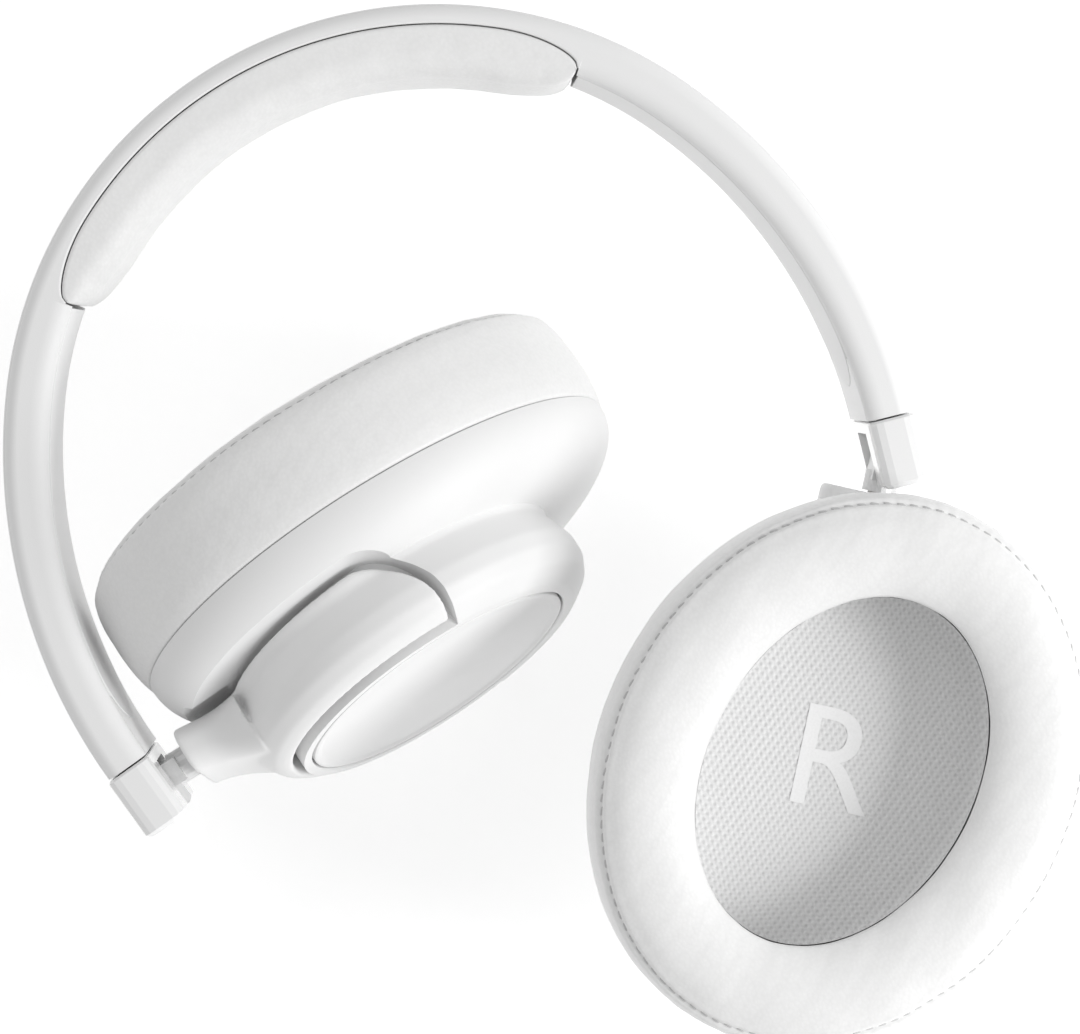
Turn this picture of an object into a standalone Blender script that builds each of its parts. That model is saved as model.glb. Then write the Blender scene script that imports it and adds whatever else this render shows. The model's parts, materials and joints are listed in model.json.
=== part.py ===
"""Over-ear headphones lying down: left cup folded inside the headband, right cup swivelled flat.

The design frame has the headband's arc in its XY plane with the apex towards +Y, and the wearer's
right side at +X. Each side is a chain of frames: slider, fold hinge, swivel and cup tilt. The root
empty then tips the whole object onto the three points it really rests on.
Sizes are in millimetres and MM turns them into metres where a mesh or a place is made.
"""

import math

import bmesh
import bpy
import numpy as np
from mathutils import Matrix, Vector

MM = 0.001
GAP = 0.3  # between pieces that touch on the real object
SIDES = (("left", -1), ("right", 1))

# Pose at rest
FOLD = {"left": 86.6, "right": 26.4}  # cup fold towards the headband's inside, degrees
SWIVEL = {"left": -18.3, "right": 90.0}  # turn about the neck, degrees, 0 as worn
CUP_TILT = 2.5
REST_TILT = (17.41, 7.39)  # about X and then about Y, onto both cups, degrees

# Headband
CROWN_RADIUS = 70.0
CROWN_ANGLE = 59.0
FLANK_RADIUS = 92.2
BAND_END = 100.6
BAND_WIDTH = 28.0
BAND_DEPTH = 8.3
BAND_WALL = 2.1
BAND_STEP = 4.0  # degrees between sections
CUSHION_ANGLE = 45.0
CUSHION_DROP = 5.0  # below the band's inner face
CUSHION_BUILT_IN = 4.2  # depth of the cushion's seat in the band
CUSHION_TAPER = 12.0  # degrees over which its ends run out
COVER_THICKNESS = 1.5
COVER_END = 93.0
STRIP_WIDTH = 12.0
STRIP_THICKNESS = 0.8
STRIP_ANGLE = 74.0

# Slider and fold hinge
END_LENGTH = 12.2
END_SLOT = 11.0
RAIL_WIDTH = 8.0
RAIL_THICKNESS = 1.2
RAIL_ANGLE = 21.0  # degrees of the flank's arc that the rail follows inside the band
RAIL_ROOT = 0.9  # degrees of it inside the end piece
PIVOT_DROP = 5.4  # from the band's end to the fold pin
PIN_RADIUS = 1.2
PIN_LENGTH = 16.0
KNUCKLE_WIDTH = 10.0
KNUCKLE_RADIUS = 2.8
NECK_LENGTH = 8.5
NECK_RADIUS = 3.0
SHAFT_RADIUS = 1.9
SHAFT_END = 15.0
RUNNING_GAP = 0.08
BUSH_WALL = 0.7

# Cup
PAD_LONG = 48.0
PIVOT_TO_PAD = 8.0  # fold pin to the pad's near end, along the neck
NECK_TO_CUP = PAD_LONG + PIVOT_TO_PAD  # fold pin to the middle of the cup
NECK_BELOW = 13.9  # neck axis below the plane between pad and housing
PAD_SHORT = 39.9
PAD_SLANT = 17.0
PAD_HEIGHT = 20.5
OPENING_LONG = 30.7
OPENING_SHORT = 22.3
OPENING_UNDERCUT = 2.6
RIM_INSET = 1.3
CUP_WALL = 2.0
DRUM_OFFSET = 4.3  # drum centre nearer the neck than the pad's
CAP_RADIUS = 25.4
CAP_THICKNESS = 1.8
CAP_BORDER = 2.0  # from the cap's edge to the wall that the prongs lie round
PRONG_DEPTH = 5.9  # from that wall to the drum's widest outside
FACE_BORDER = 0.6
WAIST_INSET = 1.9
CORE_RADIUS = CAP_RADIUS + CAP_BORDER
DRUM_RADIUS = CORE_RADIUS + PRONG_DEPTH
FACE_RADIUS = CORE_RADIUS + FACE_BORDER
WAIST_RADIUS = DRUM_RADIUS - WAIST_INSET
WAIST_HEIGHT = -12.0
FACE_HEIGHT = -25.6
TILT_HEIGHT = -16.0
OVAL_STEPS = 40

# Yoke
YOKE_GAP = 1.4
YOKE_TOP = -9.4
YOKE_REACH = 106.0  # degrees each way from the neck to a prong's tip
YOKE_TIP = 20.0  # degrees over which a prong's top rounds down
STEM_WIDTH = 20.0
STEM_THICKNESS = 8.4
STEM_RELIEF = 1.1  # extra height cut from the housing over the stem
TILT_PIN_RADIUS = 1.5

# Driver and electronics
DRIVER_RADIUS = 20.0
DIAPHRAGM_RADIUS = 17.0
MAGNET_RADIUS = 11.0
MAGNET_DEPTH = 6.0
BAFFLE_THICKNESS = 2.0
SCRIM_THICKNESS = 0.8
BUTTON_RADIUS = 2.6
BUTTON_LENGTH = 3.6
BUTTON_PROUD = 0.9
BUTTON_ANGLES = {"volume_up_button": 62.0, "power_button": 49.0, "volume_down_button": 36.0}
BUTTON_HEIGHT = -8.4
SOCKET_SIZE = (7.0, 9.4, 3.6)

WHITE_PLASTIC = (0.82, 0.82, 0.81, 1.0)


def clear_scene():
    for existing in list(bpy.data.objects):
        bpy.data.objects.remove(existing, do_unlink=True)


def material(name, colour, roughness, metallic=0.0):
    made = bpy.data.materials.new(name)
    made.use_nodes = True
    shader = made.node_tree.nodes["Principled BSDF"]
    shader.inputs["Base Color"].default_value = colour
    shader.inputs["Roughness"].default_value = roughness
    shader.inputs["Metallic"].default_value = metallic
    return made


def frame(name, parent, matrix):
    """An empty whose local matrix is given in millimetres."""
    empty = bpy.data.objects.new(name, None)
    bpy.context.collection.objects.link(empty)
    empty.parent = parent
    empty.matrix_local = Matrix.Translation(matrix.translation * MM) @ matrix.to_3x3().to_4x4()
    empty.empty_display_size = 0.01
    return empty


def axes(origin, x_axis, z_axis):
    """The frame at origin with these X and Z axes."""
    x_axis = Vector(x_axis).normalized()
    z_axis = Vector(z_axis).normalized()
    turn = Matrix((x_axis, z_axis.cross(x_axis), z_axis)).transposed().to_4x4()
    return Matrix.Translation(origin) @ turn


def solid(name, rings, parent, look, looped=False):
    """A closed body lofted through rings of equal length, capped at both ends unless it is looped."""
    count = len(rings[0])
    mesh = bmesh.new()
    rows = [[mesh.verts.new(Vector(point) * MM) for point in ring] for ring in rings]
    pairs = list(zip(rows, rows[1:])) + ([(rows[-1], rows[0])] if looped else [])
    for low, high in pairs:
        for i in range(count):
            j = (i + 1) % count
            mesh.faces.new((low[i], low[j], high[j], high[i]))
    if not looped:
        mesh.faces.new(rows[0][::-1])
        mesh.faces.new(rows[-1])
    bmesh.ops.recalc_face_normals(mesh, faces=mesh.faces)
    if mesh.calc_volume(signed=True) < 0:
        bmesh.ops.reverse_faces(mesh, faces=mesh.faces)
    data = bpy.data.meshes.new(name)
    mesh.to_mesh(data)
    mesh.free()
    data.shade_smooth()
    data.set_sharp_from_angle(angle=math.radians(35))
    made = bpy.data.objects.new(name, data)
    bpy.context.collection.objects.link(made)
    made.parent = parent
    if look is not None:
        data.materials.append(look)
    return made


def boolean(target, operation, name, rings, parent, looped=False):
    """Cuts the lofted shape from the target, or joins it on."""
    cutter = solid(name, rings, parent, None, looped)
    cutter.hide_render = True
    cutter.display_type = "WIRE"
    change = target.modifiers.new(name, "BOOLEAN")
    change.operation = operation
    change.object = cutter


def circle(centre, radius, along, steps=20):
    """Points of a circle about a centre, facing the direction along."""
    turn = Vector(along).to_track_quat("Z", "Y").to_matrix()
    angles = [2 * math.pi * i / steps for i in range(steps)]
    flat = [Vector((radius * math.cos(a), radius * math.sin(a), 0)) for a in angles]
    return [Vector(centre) + turn @ point for point in flat]


def cylinder(start, end, radius, steps=20):
    direction = Vector(end) - Vector(start)
    return [circle(start, radius, direction, steps), circle(end, radius, direction, steps)]


def box(low, high):
    """Two rings of four points, from the low corner to the high one."""
    corners = ((low[0], low[1]), (high[0], low[1]), (high[0], high[1]), (low[0], high[1]))
    return [[(x, y, z) for x, y in corners] for z in (low[2], high[2])]


def rounded_section(half_width, low, high, corner, arc_steps=3):
    """A rounded rectangle as (height, width) pairs, from low to high and half_width each way."""
    corner = min(corner, half_width * 0.98, (high - low) * 0.49)
    points = []
    for quarter in range(4):
        for step in range(arc_steps + 1):
            angle = math.radians(90 * (quarter + step / arc_steps))
            middle_height = high - corner if quarter in (0, 3) else low + corner
            middle_width = (half_width - corner) * (1 if quarter in (0, 1) else -1)
            points.append((middle_height + corner * math.cos(angle), middle_width + corner * math.sin(angle)))
    return points


# ---------------------------------------------------------------- headband

def band_point(angle, offset=0.0, width=0.0):
    """A point at this angle from the apex, so far outside the band's mid line and across its width."""
    side = -1.0 if angle < 0 else 1.0
    turn = math.radians(abs(angle))
    crown = math.radians(CROWN_ANGLE)
    radius = CROWN_RADIUS
    centre = Vector((0.0, 0.0))
    if turn > crown:
        radius = FLANK_RADIUS
        centre = Vector((math.sin(crown), math.cos(crown))) * (CROWN_RADIUS - FLANK_RADIUS)
    x = centre.x + (radius + offset) * math.sin(turn)
    y = centre.y + (radius + offset) * math.cos(turn)
    return Vector((side * x, y, width))


def swept(section_at, start, end, step=BAND_STEP):
    """Sections along the band, where section_at gives (offset, width) pairs at an angle."""
    count = max(2, round(abs(end - start) / step))
    angles = [start + (end - start) * i / count for i in range(count + 1)]
    return [[band_point(angle, o, w) for o, w in section_at(angle)] for angle in angles]


def channel_section(_angle):
    """A U with a crowned back, open towards the head."""
    half_width = BAND_WIDTH / 2
    half_depth = BAND_DEPTH / 2
    inner = half_width - BAND_WALL
    back = [(half_depth - 0.45 * (i / 3) ** 2, (half_width - 2.4) * i / 3) for i in range(-3, 4)]
    return [(-half_depth, -inner), (-half_depth, -half_width + 0.6), (-half_depth + 0.8, -half_width),
            (half_depth - 2.6, -half_width), (half_depth - 1.1, -half_width + 0.7)] + back + [
            (half_depth - 1.1, half_width - 0.7), (half_depth - 2.6, half_width),
            (-half_depth + 0.8, half_width), (-half_depth, half_width - 0.6), (-half_depth, inner),
            (half_depth - BAND_WALL, inner), (half_depth - BAND_WALL, -inner)]


def cushion_section(angle, clearance=0.0):
    """The cushion's section: its ends run out to the band's own inner face."""
    rest = CUSHION_ANGLE - abs(angle)
    fade = math.sqrt(max(0.0, 1 - (1 - min(1.0, rest / CUSHION_TAPER)) ** 2))
    bottom = -BAND_DEPTH / 2 - 0.4 - (CUSHION_DROP - 0.4) * fade
    top = -BAND_DEPTH / 2 + 1.0 + (CUSHION_BUILT_IN - 1.0) * fade
    return rounded_section(BAND_WIDTH / 2 + clearance, bottom - clearance, top + clearance, 3.8)


def cushion_seat_section(angle):
    """The cutter for the cushion's seat, wider than the band so that its sides are cut through."""
    top = max(offset for offset, _ in cushion_section(angle)) + GAP
    low = -BAND_DEPTH / 2 - 3
    wide = BAND_WIDTH / 2 + 3
    return [(low, -wide), (low, wide), (top, wide), (top, -wide)]


def plate_section(low, high, half_width):
    return lambda _angle: [(low, -half_width), (low, half_width), (high, half_width), (high, -half_width)]


def build_headband(root, looks):
    shell = solid("headband_shell", swept(channel_section, -BAND_END, BAND_END), root, looks["shell"])
    seat = swept(cushion_seat_section, -CUSHION_ANGLE - 0.3, CUSHION_ANGLE + 0.3)
    boolean(shell, "DIFFERENCE", "cushion_seat", seat, root)
    solid("headband_cushion", swept(cushion_section, -CUSHION_ANGLE, CUSHION_ANGLE, 3.0), root, looks["leather"])
    inner_back = BAND_DEPTH / 2 - BAND_WALL - GAP
    strip = plate_section(inner_back - STRIP_THICKNESS, inner_back, STRIP_WIDTH / 2)
    solid("spring_strip", swept(strip, -STRIP_ANGLE, STRIP_ANGLE), root, looks["steel"])
    cover_half = BAND_WIDTH / 2 - BAND_WALL - GAP
    inner_face = -BAND_DEPTH / 2
    for name, side in SIDES:
        cover = plate_section(inner_face, inner_face + COVER_THICKNESS, cover_half)
        start = side * (CUSHION_ANGLE + 1.2)
        solid(f"{name}_inner_cover", swept(cover, start, side * COVER_END), root, looks["shell"])
        guide = plate_section(inner_face, BAND_DEPTH / 2 - BAND_WALL - GAP, cover_half)
        reach = swept(guide, side * (COVER_END + 0.3), side * BAND_END, 2.0)
        block = solid(f"{name}_slider_guide", reach, root, looks["shell"])
        boolean(block, "DIFFERENCE", f"{name}_rail_way", rail_rings(side, GAP), root)


# ---------------------------------------------------------------- slider, hinge and neck

def end_frame(side):
    """At the band's end: X runs out along the band, Z is the design frame's Z."""
    turn = math.radians(BAND_END)
    return axes(band_point(side * BAND_END), (side * math.cos(turn), -math.sin(turn), 0), (0, 0, 1))


def fold_direction(name, side):
    """The neck's direction in the design frame."""
    turn = math.radians(BAND_END + FOLD[name])
    return Vector((side * math.cos(turn), -math.sin(turn), 0))


def pad_normal(name, side):
    """The direction that the ear pad faces, in the design frame."""
    neck = fold_direction(name, side)
    inward = Vector((side * neck.y, -side * neck.x, 0))
    turn = math.radians(SWIVEL[name])
    return inward * math.cos(turn) + Vector((0, 0, 1)) * math.sin(turn)


def rail_rings(side, clearance=0.0):
    """The curved rail in the design frame: it slides along the flank's arc, so it follows that arc."""
    half_thickness = RAIL_THICKNESS / 2 + clearance
    section = plate_section(-half_thickness, half_thickness, RAIL_WIDTH / 2 + clearance)
    beyond = RAIL_ROOT + math.degrees(clearance / FLANK_RADIUS)
    return swept(section, side * (BAND_END - RAIL_ANGLE - 8 * clearance), side * (BAND_END + beyond))


def into(place, rings):
    """The rings moved into the frame that stands at place."""
    back = place.inverted()
    return [[back @ Vector(point) for point in ring] for ring in rings]


def build_slider(name, side, looks):
    place = slider_frames[name]
    at_end = end_frame(side)
    half_depth = BAND_DEPTH / 2
    section = rounded_section(BAND_WIDTH / 2, -half_depth, half_depth, 2.4)
    stations = (GAP, GAP + 0.4, END_LENGTH - 0.8, END_LENGTH)
    insets = (0.4, 0.0, 0.0, 0.8)
    rings = []
    for x, inset in zip(stations, insets):
        scale = ((half_depth - inset) / half_depth, (BAND_WIDTH / 2 - inset) / (BAND_WIDTH / 2))
        rings.append([(x, o * scale[0], w * scale[1]) for o, w in section])
    end = solid(f"{name}_slider_end", rings, place, looks["gloss"])
    inside = -side  # the local Y direction that faces the headband's middle
    reach = sorted((inside * (half_depth + 2), -inside * (KNUCKLE_RADIUS + GAP)))
    slot = box((PIVOT_DROP - KNUCKLE_RADIUS - GAP, reach[0], -END_SLOT / 2),
               (END_LENGTH + 2, reach[1], END_SLOT / 2))
    boolean(end, "DIFFERENCE", f"{name}_hinge_slot", slot, place)
    boolean(end, "DIFFERENCE", f"{name}_rail_socket", into(at_end, rail_rings(side, GAP)), place)
    reach = PIN_LENGTH / 2 + GAP
    bore = cylinder((PIVOT_DROP, 0, -reach), (PIVOT_DROP, 0, reach), PIN_RADIUS + RUNNING_GAP)
    boolean(end, "DIFFERENCE", f"{name}_pin_bore", bore, place)
    solid(f"{name}_slider_rail", into(at_end, rail_rings(side)), place, looks["steel"])
    shape = cylinder((PIVOT_DROP, 0, -PIN_LENGTH / 2), (PIVOT_DROP, 0, PIN_LENGTH / 2), PIN_RADIUS)
    solid(f"{name}_fold_pin", shape, place, looks["steel"])


def build_knuckle(name, looks):
    place = fold_frames[name]
    half_width = KNUCKLE_WIDTH / 2
    barrel = cylinder((0, 0, -half_width), (0, 0, half_width), KNUCKLE_RADIUS, 24)
    knuckle = solid(f"{name}_fold_knuckle", barrel, place, looks["dark_metal"])
    tongue = box((0, -2.2, -half_width + 0.4), (NECK_LENGTH - 2.0, 2.2, half_width - 0.4))
    boolean(knuckle, "UNION", f"{name}_tongue", tongue, place)
    neck = cylinder((NECK_LENGTH - 3.6, 0, 0), (NECK_LENGTH, 0, 0), NECK_RADIUS)
    boolean(knuckle, "UNION", f"{name}_collar", neck, place)
    shaft = cylinder((NECK_LENGTH - 1, 0, 0), (SHAFT_END, 0, 0), SHAFT_RADIUS)
    boolean(knuckle, "UNION", f"{name}_shaft", shaft, place)
    bore = cylinder((0, 0, -half_width - 1), (0, 0, half_width + 1), PIN_RADIUS + RUNNING_GAP)
    boolean(knuckle, "DIFFERENCE", f"{name}_knuckle_bore", bore, place)


# ---------------------------------------------------------------- cup surfaces

def oval(long_half, short_half, height, slant=0.0, shift=0.0, steps=OVAL_STEPS):
    """A ring at even polar angles about a centre shifted along X, with its long axis at the slant."""
    points = []
    for i in range(steps):
        angle = 2 * math.pi * i / steps
        a = math.cos(angle - slant) / long_half
        b = math.sin(angle - slant) / short_half
        radius = 1 / math.hypot(a, b)
        points.append((shift + radius * math.cos(angle), radius * math.sin(angle), height))
    return points


def drum_radius(height):
    """The drum's outer radius at this height: the waist, the flare and the rounded edge of its face."""
    outline = ((FACE_HEIGHT, FACE_RADIUS), (FACE_HEIGHT + 0.5, FACE_RADIUS + 1.0),
               (FACE_HEIGHT + 2.4, DRUM_RADIUS - 1.6), (FACE_HEIGHT + 5.0, DRUM_RADIUS - 0.2),
               (FACE_HEIGHT + 8.0, DRUM_RADIUS - 0.1), (WAIST_HEIGHT, WAIST_RADIUS),
               (WAIST_HEIGHT + 3.0, WAIST_RADIUS + 1.2))
    return float(np.interp(height, *zip(*outline)))


def bowl_rings(slant, inset):
    """The housing's outer rings from the pad down to the waist, or its inner ones with an inset."""
    rings = []
    for share in (0.0, 0.15, 0.35, 0.55, 0.75, 0.9, 1.0):
        height = -GAP + (WAIST_HEIGHT + 1.0 + GAP) * share
        drawn_in = (1 - math.sqrt(max(0.0, 1 - share ** 2.6))) ** 0.8
        long_half = PAD_LONG - RIM_INSET + (WAIST_RADIUS + 0.3 - PAD_LONG + RIM_INSET) * drawn_in
        short_half = PAD_SHORT - RIM_INSET + (WAIST_RADIUS + 0.3 - PAD_SHORT + RIM_INSET) * drawn_in
        rings.append(oval(long_half - inset, short_half - inset, height, slant, -DRUM_OFFSET * drawn_in))
    return rings


def ring_plate(name, low, high, outer, inner, parent, look, slant, shift=0.0):
    """A flat ring, where outer and inner are (long, short) half sizes."""
    rings = [oval(*inner, low, slant, shift), oval(*outer, low, slant, shift), oval(*outer, high, slant, shift),
             oval(*inner, high, slant, shift)]
    return solid(name, rings, parent, look, looped=True)


def build_housing(name, side, slant, looks):
    place = cup_frames[name]
    outer = bowl_rings(slant, 0.0)
    for height in (WAIST_HEIGHT - 1.5, WAIST_HEIGHT - 4.0, FACE_HEIGHT + 7.0, FACE_HEIGHT + 4.0, FACE_HEIGHT + 2.0,
                   FACE_HEIGHT + 0.6, FACE_HEIGHT):
        outer.append(oval(drum_radius(height), drum_radius(height), height, 0.0, -DRUM_OFFSET))
    recess = CAP_RADIUS + GAP
    floor = FACE_HEIGHT + CAP_THICKNESS + GAP
    outer.append(oval(recess, recess, FACE_HEIGHT, 0.0, -DRUM_OFFSET))
    outer.append(oval(recess, recess, floor, 0.0, -DRUM_OFFSET))
    inner_radius = CORE_RADIUS - CUP_WALL
    inner = [oval(inner_radius, inner_radius, floor + CUP_WALL, 0.0, -DRUM_OFFSET),
             oval(inner_radius, inner_radius, YOKE_TOP + YOKE_GAP + CUP_WALL, 0.0, -DRUM_OFFSET)]
    rim_long, rim_short = PAD_LONG - RIM_INSET - CUP_WALL, PAD_SHORT - RIM_INSET - CUP_WALL
    shelf = -GAP - PLATE_STACK
    inner += [oval(rim_long - 1.6, rim_short - 1.6, YOKE_TOP + YOKE_GAP + CUP_WALL, slant),
              oval(rim_long - 1.6, rim_short - 1.6, shelf, slant),
              oval(rim_long, rim_short, shelf, slant), oval(rim_long, rim_short, -GAP, slant)]
    housing = solid(f"{name}_cup_housing", inner + outer, place, looks["shell"])
    cut = yoke_rings(CORE_RADIUS, YOKE_GAP, FACE_HEIGHT - 3.0, outer_radius=DRUM_RADIUS + 18)
    boolean(housing, "DIFFERENCE", f"{name}_yoke_recess", cut, place)
    half_width = STEM_WIDTH / 2 + 2.2
    relief = box((-PAD_LONG - 10, -half_width, FACE_HEIGHT - 3.0),
                 (-DRUM_OFFSET - CORE_RADIUS - 2.6, half_width, YOKE_TOP + YOKE_GAP + STEM_RELIEF))
    boolean(housing, "DIFFERENCE", f"{name}_stem_relief", relief, place)
    for sign in (-1, 1):
        bore = cylinder((-DRUM_OFFSET, sign * (CORE_RADIUS - CUP_WALL - 1), TILT_HEIGHT),
                        (-DRUM_OFFSET, sign * (CORE_RADIUS + 2), TILT_HEIGHT), TILT_PIN_RADIUS + RUNNING_GAP, 16)
        boolean(housing, "DIFFERENCE", f"{name}_tilt_bore_{'rear' if sign == side else 'front'}", bore, place)
    cap = [oval(CAP_RADIUS, CAP_RADIUS, floor - GAP, 0.0, -DRUM_OFFSET),
           oval(CAP_RADIUS, CAP_RADIUS, FACE_HEIGHT + 0.3, 0.0, -DRUM_OFFSET),
           oval(CAP_RADIUS - 0.5, CAP_RADIUS - 0.5, FACE_HEIGHT, 0.0, -DRUM_OFFSET)]
    solid(f"{name}_cup_cap", cap, place, looks["shell"])
    return housing


PLATE_STACK = BAFFLE_THICKNESS + GAP + 1.5  # baffle and pad plate inside the housing's rim


def build_inside(name, slant, looks):
    """Pad plate, baffle, scrim and the driver, all inside the cup."""
    place = cup_frames[name]
    plate_outer = (PAD_LONG - RIM_INSET - CUP_WALL - GAP, PAD_SHORT - RIM_INSET - CUP_WALL - GAP)
    scrim = (OPENING_LONG + OPENING_UNDERCUT - GAP, OPENING_SHORT + OPENING_UNDERCUT - GAP)
    plate_inner = (scrim[0] - 1.5, scrim[1] - 1.5)
    shelf = -GAP - PLATE_STACK
    ring_plate(f"{name}_pad_plate", -GAP - 1.2, -GAP, plate_outer, plate_inner, place, looks["dark"], slant)
    hole = DRIVER_RADIUS - 1.5
    low = shelf + GAP
    baffle = [oval(hole, hole, low), oval(*plate_outer, low, slant), oval(*plate_outer, low + BAFFLE_THICKNESS, slant),
              oval(hole, hole, low + BAFFLE_THICKNESS)]
    solid(f"{name}_baffle", baffle, place, looks["dark"], looped=True)
    solid(f"{name}_ear_scrim", [oval(*scrim, 0.0, slant), oval(*scrim, SCRIM_THICKNESS, slant)], place, looks["fabric"])
    rear = low - GAP
    basket = [oval(MAGNET_RADIUS + 1.2, MAGNET_RADIUS + 1.2, rear - 5.0),
              oval(MAGNET_RADIUS + 4, MAGNET_RADIUS + 4, rear - 5.0),
              oval(DRIVER_RADIUS, DRIVER_RADIUS, rear - 1.6), oval(DRIVER_RADIUS, DRIVER_RADIUS, rear),
              oval(DIAPHRAGM_RADIUS + 0.6, DIAPHRAGM_RADIUS + 0.6, rear),
              oval(DIAPHRAGM_RADIUS + 0.6, DIAPHRAGM_RADIUS + 0.6, rear - 1.4),
              oval(MAGNET_RADIUS + 1.2, MAGNET_RADIUS + 1.2, rear - 3.4)]
    solid(f"{name}_driver_frame", basket, place, looks["dark"], looped=True)
    magnet_top = rear - 3.4
    magnet = [oval(MAGNET_RADIUS, MAGNET_RADIUS, z, steps=24) for z in (magnet_top - MAGNET_DEPTH, magnet_top)]
    solid(f"{name}_driver_magnet", magnet, place, looks["steel"])
    dome = []
    edge = ((DIAPHRAGM_RADIUS, 0.0), (DIAPHRAGM_RADIUS, 0.5))
    for radius, height in edge + ((14.5, 1.3), (12.0, 0.7), (7.0, 1.7), (2.0, 2.2)):
        dome.append(oval(radius, radius, rear - 0.9 + height, steps=24))
    solid(f"{name}_driver_diaphragm", dome, place, looks["film"])


def build_pad(name, slant, looks):
    """The ear pad: a full outer wall, a crowned top and an opening that is undercut below its rim."""
    place = cup_frames[name]
    section = ((-1.4, 0.2), (0.0, 5.0), (0.0, 10.0), (-0.8, 15.0), (-3.2, 18.6), (-7.0, PAD_HEIGHT))
    outer = [oval(PAD_LONG + d, PAD_SHORT + d, h, slant) for d, h in section]
    inward = ((4.0, PAD_HEIGHT - 0.5), (1.2, 19.2), (0.0, 17.4), (0.6, 14.0), (OPENING_UNDERCUT, 8.0),
              (OPENING_UNDERCUT + 0.6, 0.2))
    outer += [oval(OPENING_LONG + d, OPENING_SHORT + d, h, slant) for d, h in inward]
    solid(f"{name}_ear_pad", outer, place, looks["leather"], looped=True)


# ---------------------------------------------------------------- yoke

def yoke_rings(inner_radius, clearance, bottom, outer_radius=None):
    """Sections of the U about the drum's centre, in the cup's frame, from one prong's tip to the other's."""
    reach = YOKE_REACH + math.degrees(clearance / DRUM_RADIUS)
    rings = []
    for step in range(41):
        angle = -reach + 2 * reach * step / 40
        beyond = max(0.0, (abs(angle) - reach + YOKE_TIP) / YOKE_TIP)
        top = YOKE_TOP + clearance
        top -= (YOKE_TOP - FACE_HEIGHT - 1.5) * 0.92 * (1 - math.sqrt(max(0.0, 1 - beyond ** 1.8)))
        turn = math.radians(180 + angle)
        rings.append(yoke_section(turn, inner_radius, bottom, top, outer_radius))
    return rings


def yoke_section(turn, inner_radius, bottom, top, outer_radius):
    outline = [(inner_radius, top), (inner_radius, bottom)]
    for share in (0.0, 0.07, 0.2, 0.45, 0.75, 0.93, 1.0):
        height = bottom + (top - bottom) * share
        radius = outer_radius or drum_radius(height)
        if outer_radius is None and share == 1.0:
            radius -= 0.7
        outline.append((radius, height))
    return [(-DRUM_OFFSET + r * math.cos(turn), r * math.sin(turn), h) for r, h in outline]


def build_yoke(name, side, looks):
    place = swivel_frames[name]
    at_rest = cup_place(name)
    rings = yoke_rings(CORE_RADIUS + YOKE_GAP - 0.1, 0.0, FACE_HEIGHT + 0.3)
    rings = [[at_rest @ Vector(point) for point in ring] for ring in rings]
    yoke = solid(f"{name}_yoke", rings, place, looks["shell"])
    stem_start = NECK_LENGTH + GAP
    wall = NECK_TO_CUP - DRUM_OFFSET - CORE_RADIUS - YOKE_GAP
    stem = []
    for share in (0.0, 0.06, 0.3, 0.5, 0.7, 0.85, 1.0):
        x = stem_start + (wall - 1.2 - stem_start) * share
        shrink = 0.5 if share == 0.0 else 0.0
        half_width = STEM_WIDTH / 2 * (1 + 1.1 * max(0.0, share - 0.3) ** 2) - shrink
        top = STEM_THICKNESS / 2 - 1.4 * share - shrink
        bottom = -STEM_THICKNESS / 2 - 5.0 * share ** 1.5 + shrink
        stem.append([(x, w, z) for z, w in rounded_section(half_width, bottom, top, 3.4)])
    boolean(yoke, "UNION", f"{name}_stem", stem, place)
    bore_radius = SHAFT_RADIUS + RUNNING_GAP + BUSH_WALL + GAP
    boolean(yoke, "DIFFERENCE", f"{name}_neck_bore", cylinder((0, 0, 0), (SHAFT_END + 1.0, 0, 0), bore_radius), place)
    for sign in (-1, 1):
        ends = [at_rest @ Vector((-DRUM_OFFSET, sign * r, TILT_HEIGHT)) for r in (CORE_RADIUS, DRUM_RADIUS - 2.0)]
        which = "rear" if sign == side else "front"
        boolean(yoke, "DIFFERENCE", f"{name}_prong_bore_{which}",
                cylinder(*ends, TILT_PIN_RADIUS + RUNNING_GAP, 16), place)
        reach = (CORE_RADIUS - CUP_WALL + 0.2, DRUM_RADIUS - 2.4)
        ends = [at_rest @ Vector((-DRUM_OFFSET, sign * r, TILT_HEIGHT)) for r in reach]
        solid(f"{name}_tilt_pin_{which}", cylinder(*ends, TILT_PIN_RADIUS, 16), place, looks["steel"])
    outer = SHAFT_RADIUS + RUNNING_GAP + BUSH_WALL
    bush = [circle((x, 0, 0), radius, (1, 0, 0)) for x, radius in
            ((stem_start + 0.6, SHAFT_RADIUS + RUNNING_GAP), (stem_start + 0.6, outer), (SHAFT_END - 0.5, outer),
             (SHAFT_END - 0.5, SHAFT_RADIUS + RUNNING_GAP))]
    solid(f"{name}_swivel_bush", bush, place, looks["brass"], looped=True)


# ---------------------------------------------------------------- controls and electronics

def bowl_surface(angle, height, slant):
    """The point on the housing's outside at this polar angle and height."""
    rings = np.array(bowl_rings(slant, 0.0))
    index = (angle / 360.0 * OVAL_STEPS) % OVAL_STEPS
    low, high, share = int(index), (int(index) + 1) % OVAL_STEPS, index % 1
    column = rings[:, low] * (1 - share) + rings[:, high] * share
    order = column[:, 2].argsort()
    return Vector([float(np.interp(height, column[order, 2], column[order, k])) for k in range(3)])


def outward_at(angle, height, slant):
    """The outward normal of the housing there, from two nearby points each way."""
    along = bowl_surface(angle + 6, height, slant) - bowl_surface(angle - 6, height, slant)
    down = bowl_surface(angle, height - 1.0, slant) - bowl_surface(angle, height + 1.0, slant)
    normal = along.cross(down).normalized()
    away = bowl_surface(angle, height, slant)
    return normal if normal.dot(Vector((away.x, away.y, 0))) > 0 else -normal


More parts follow.
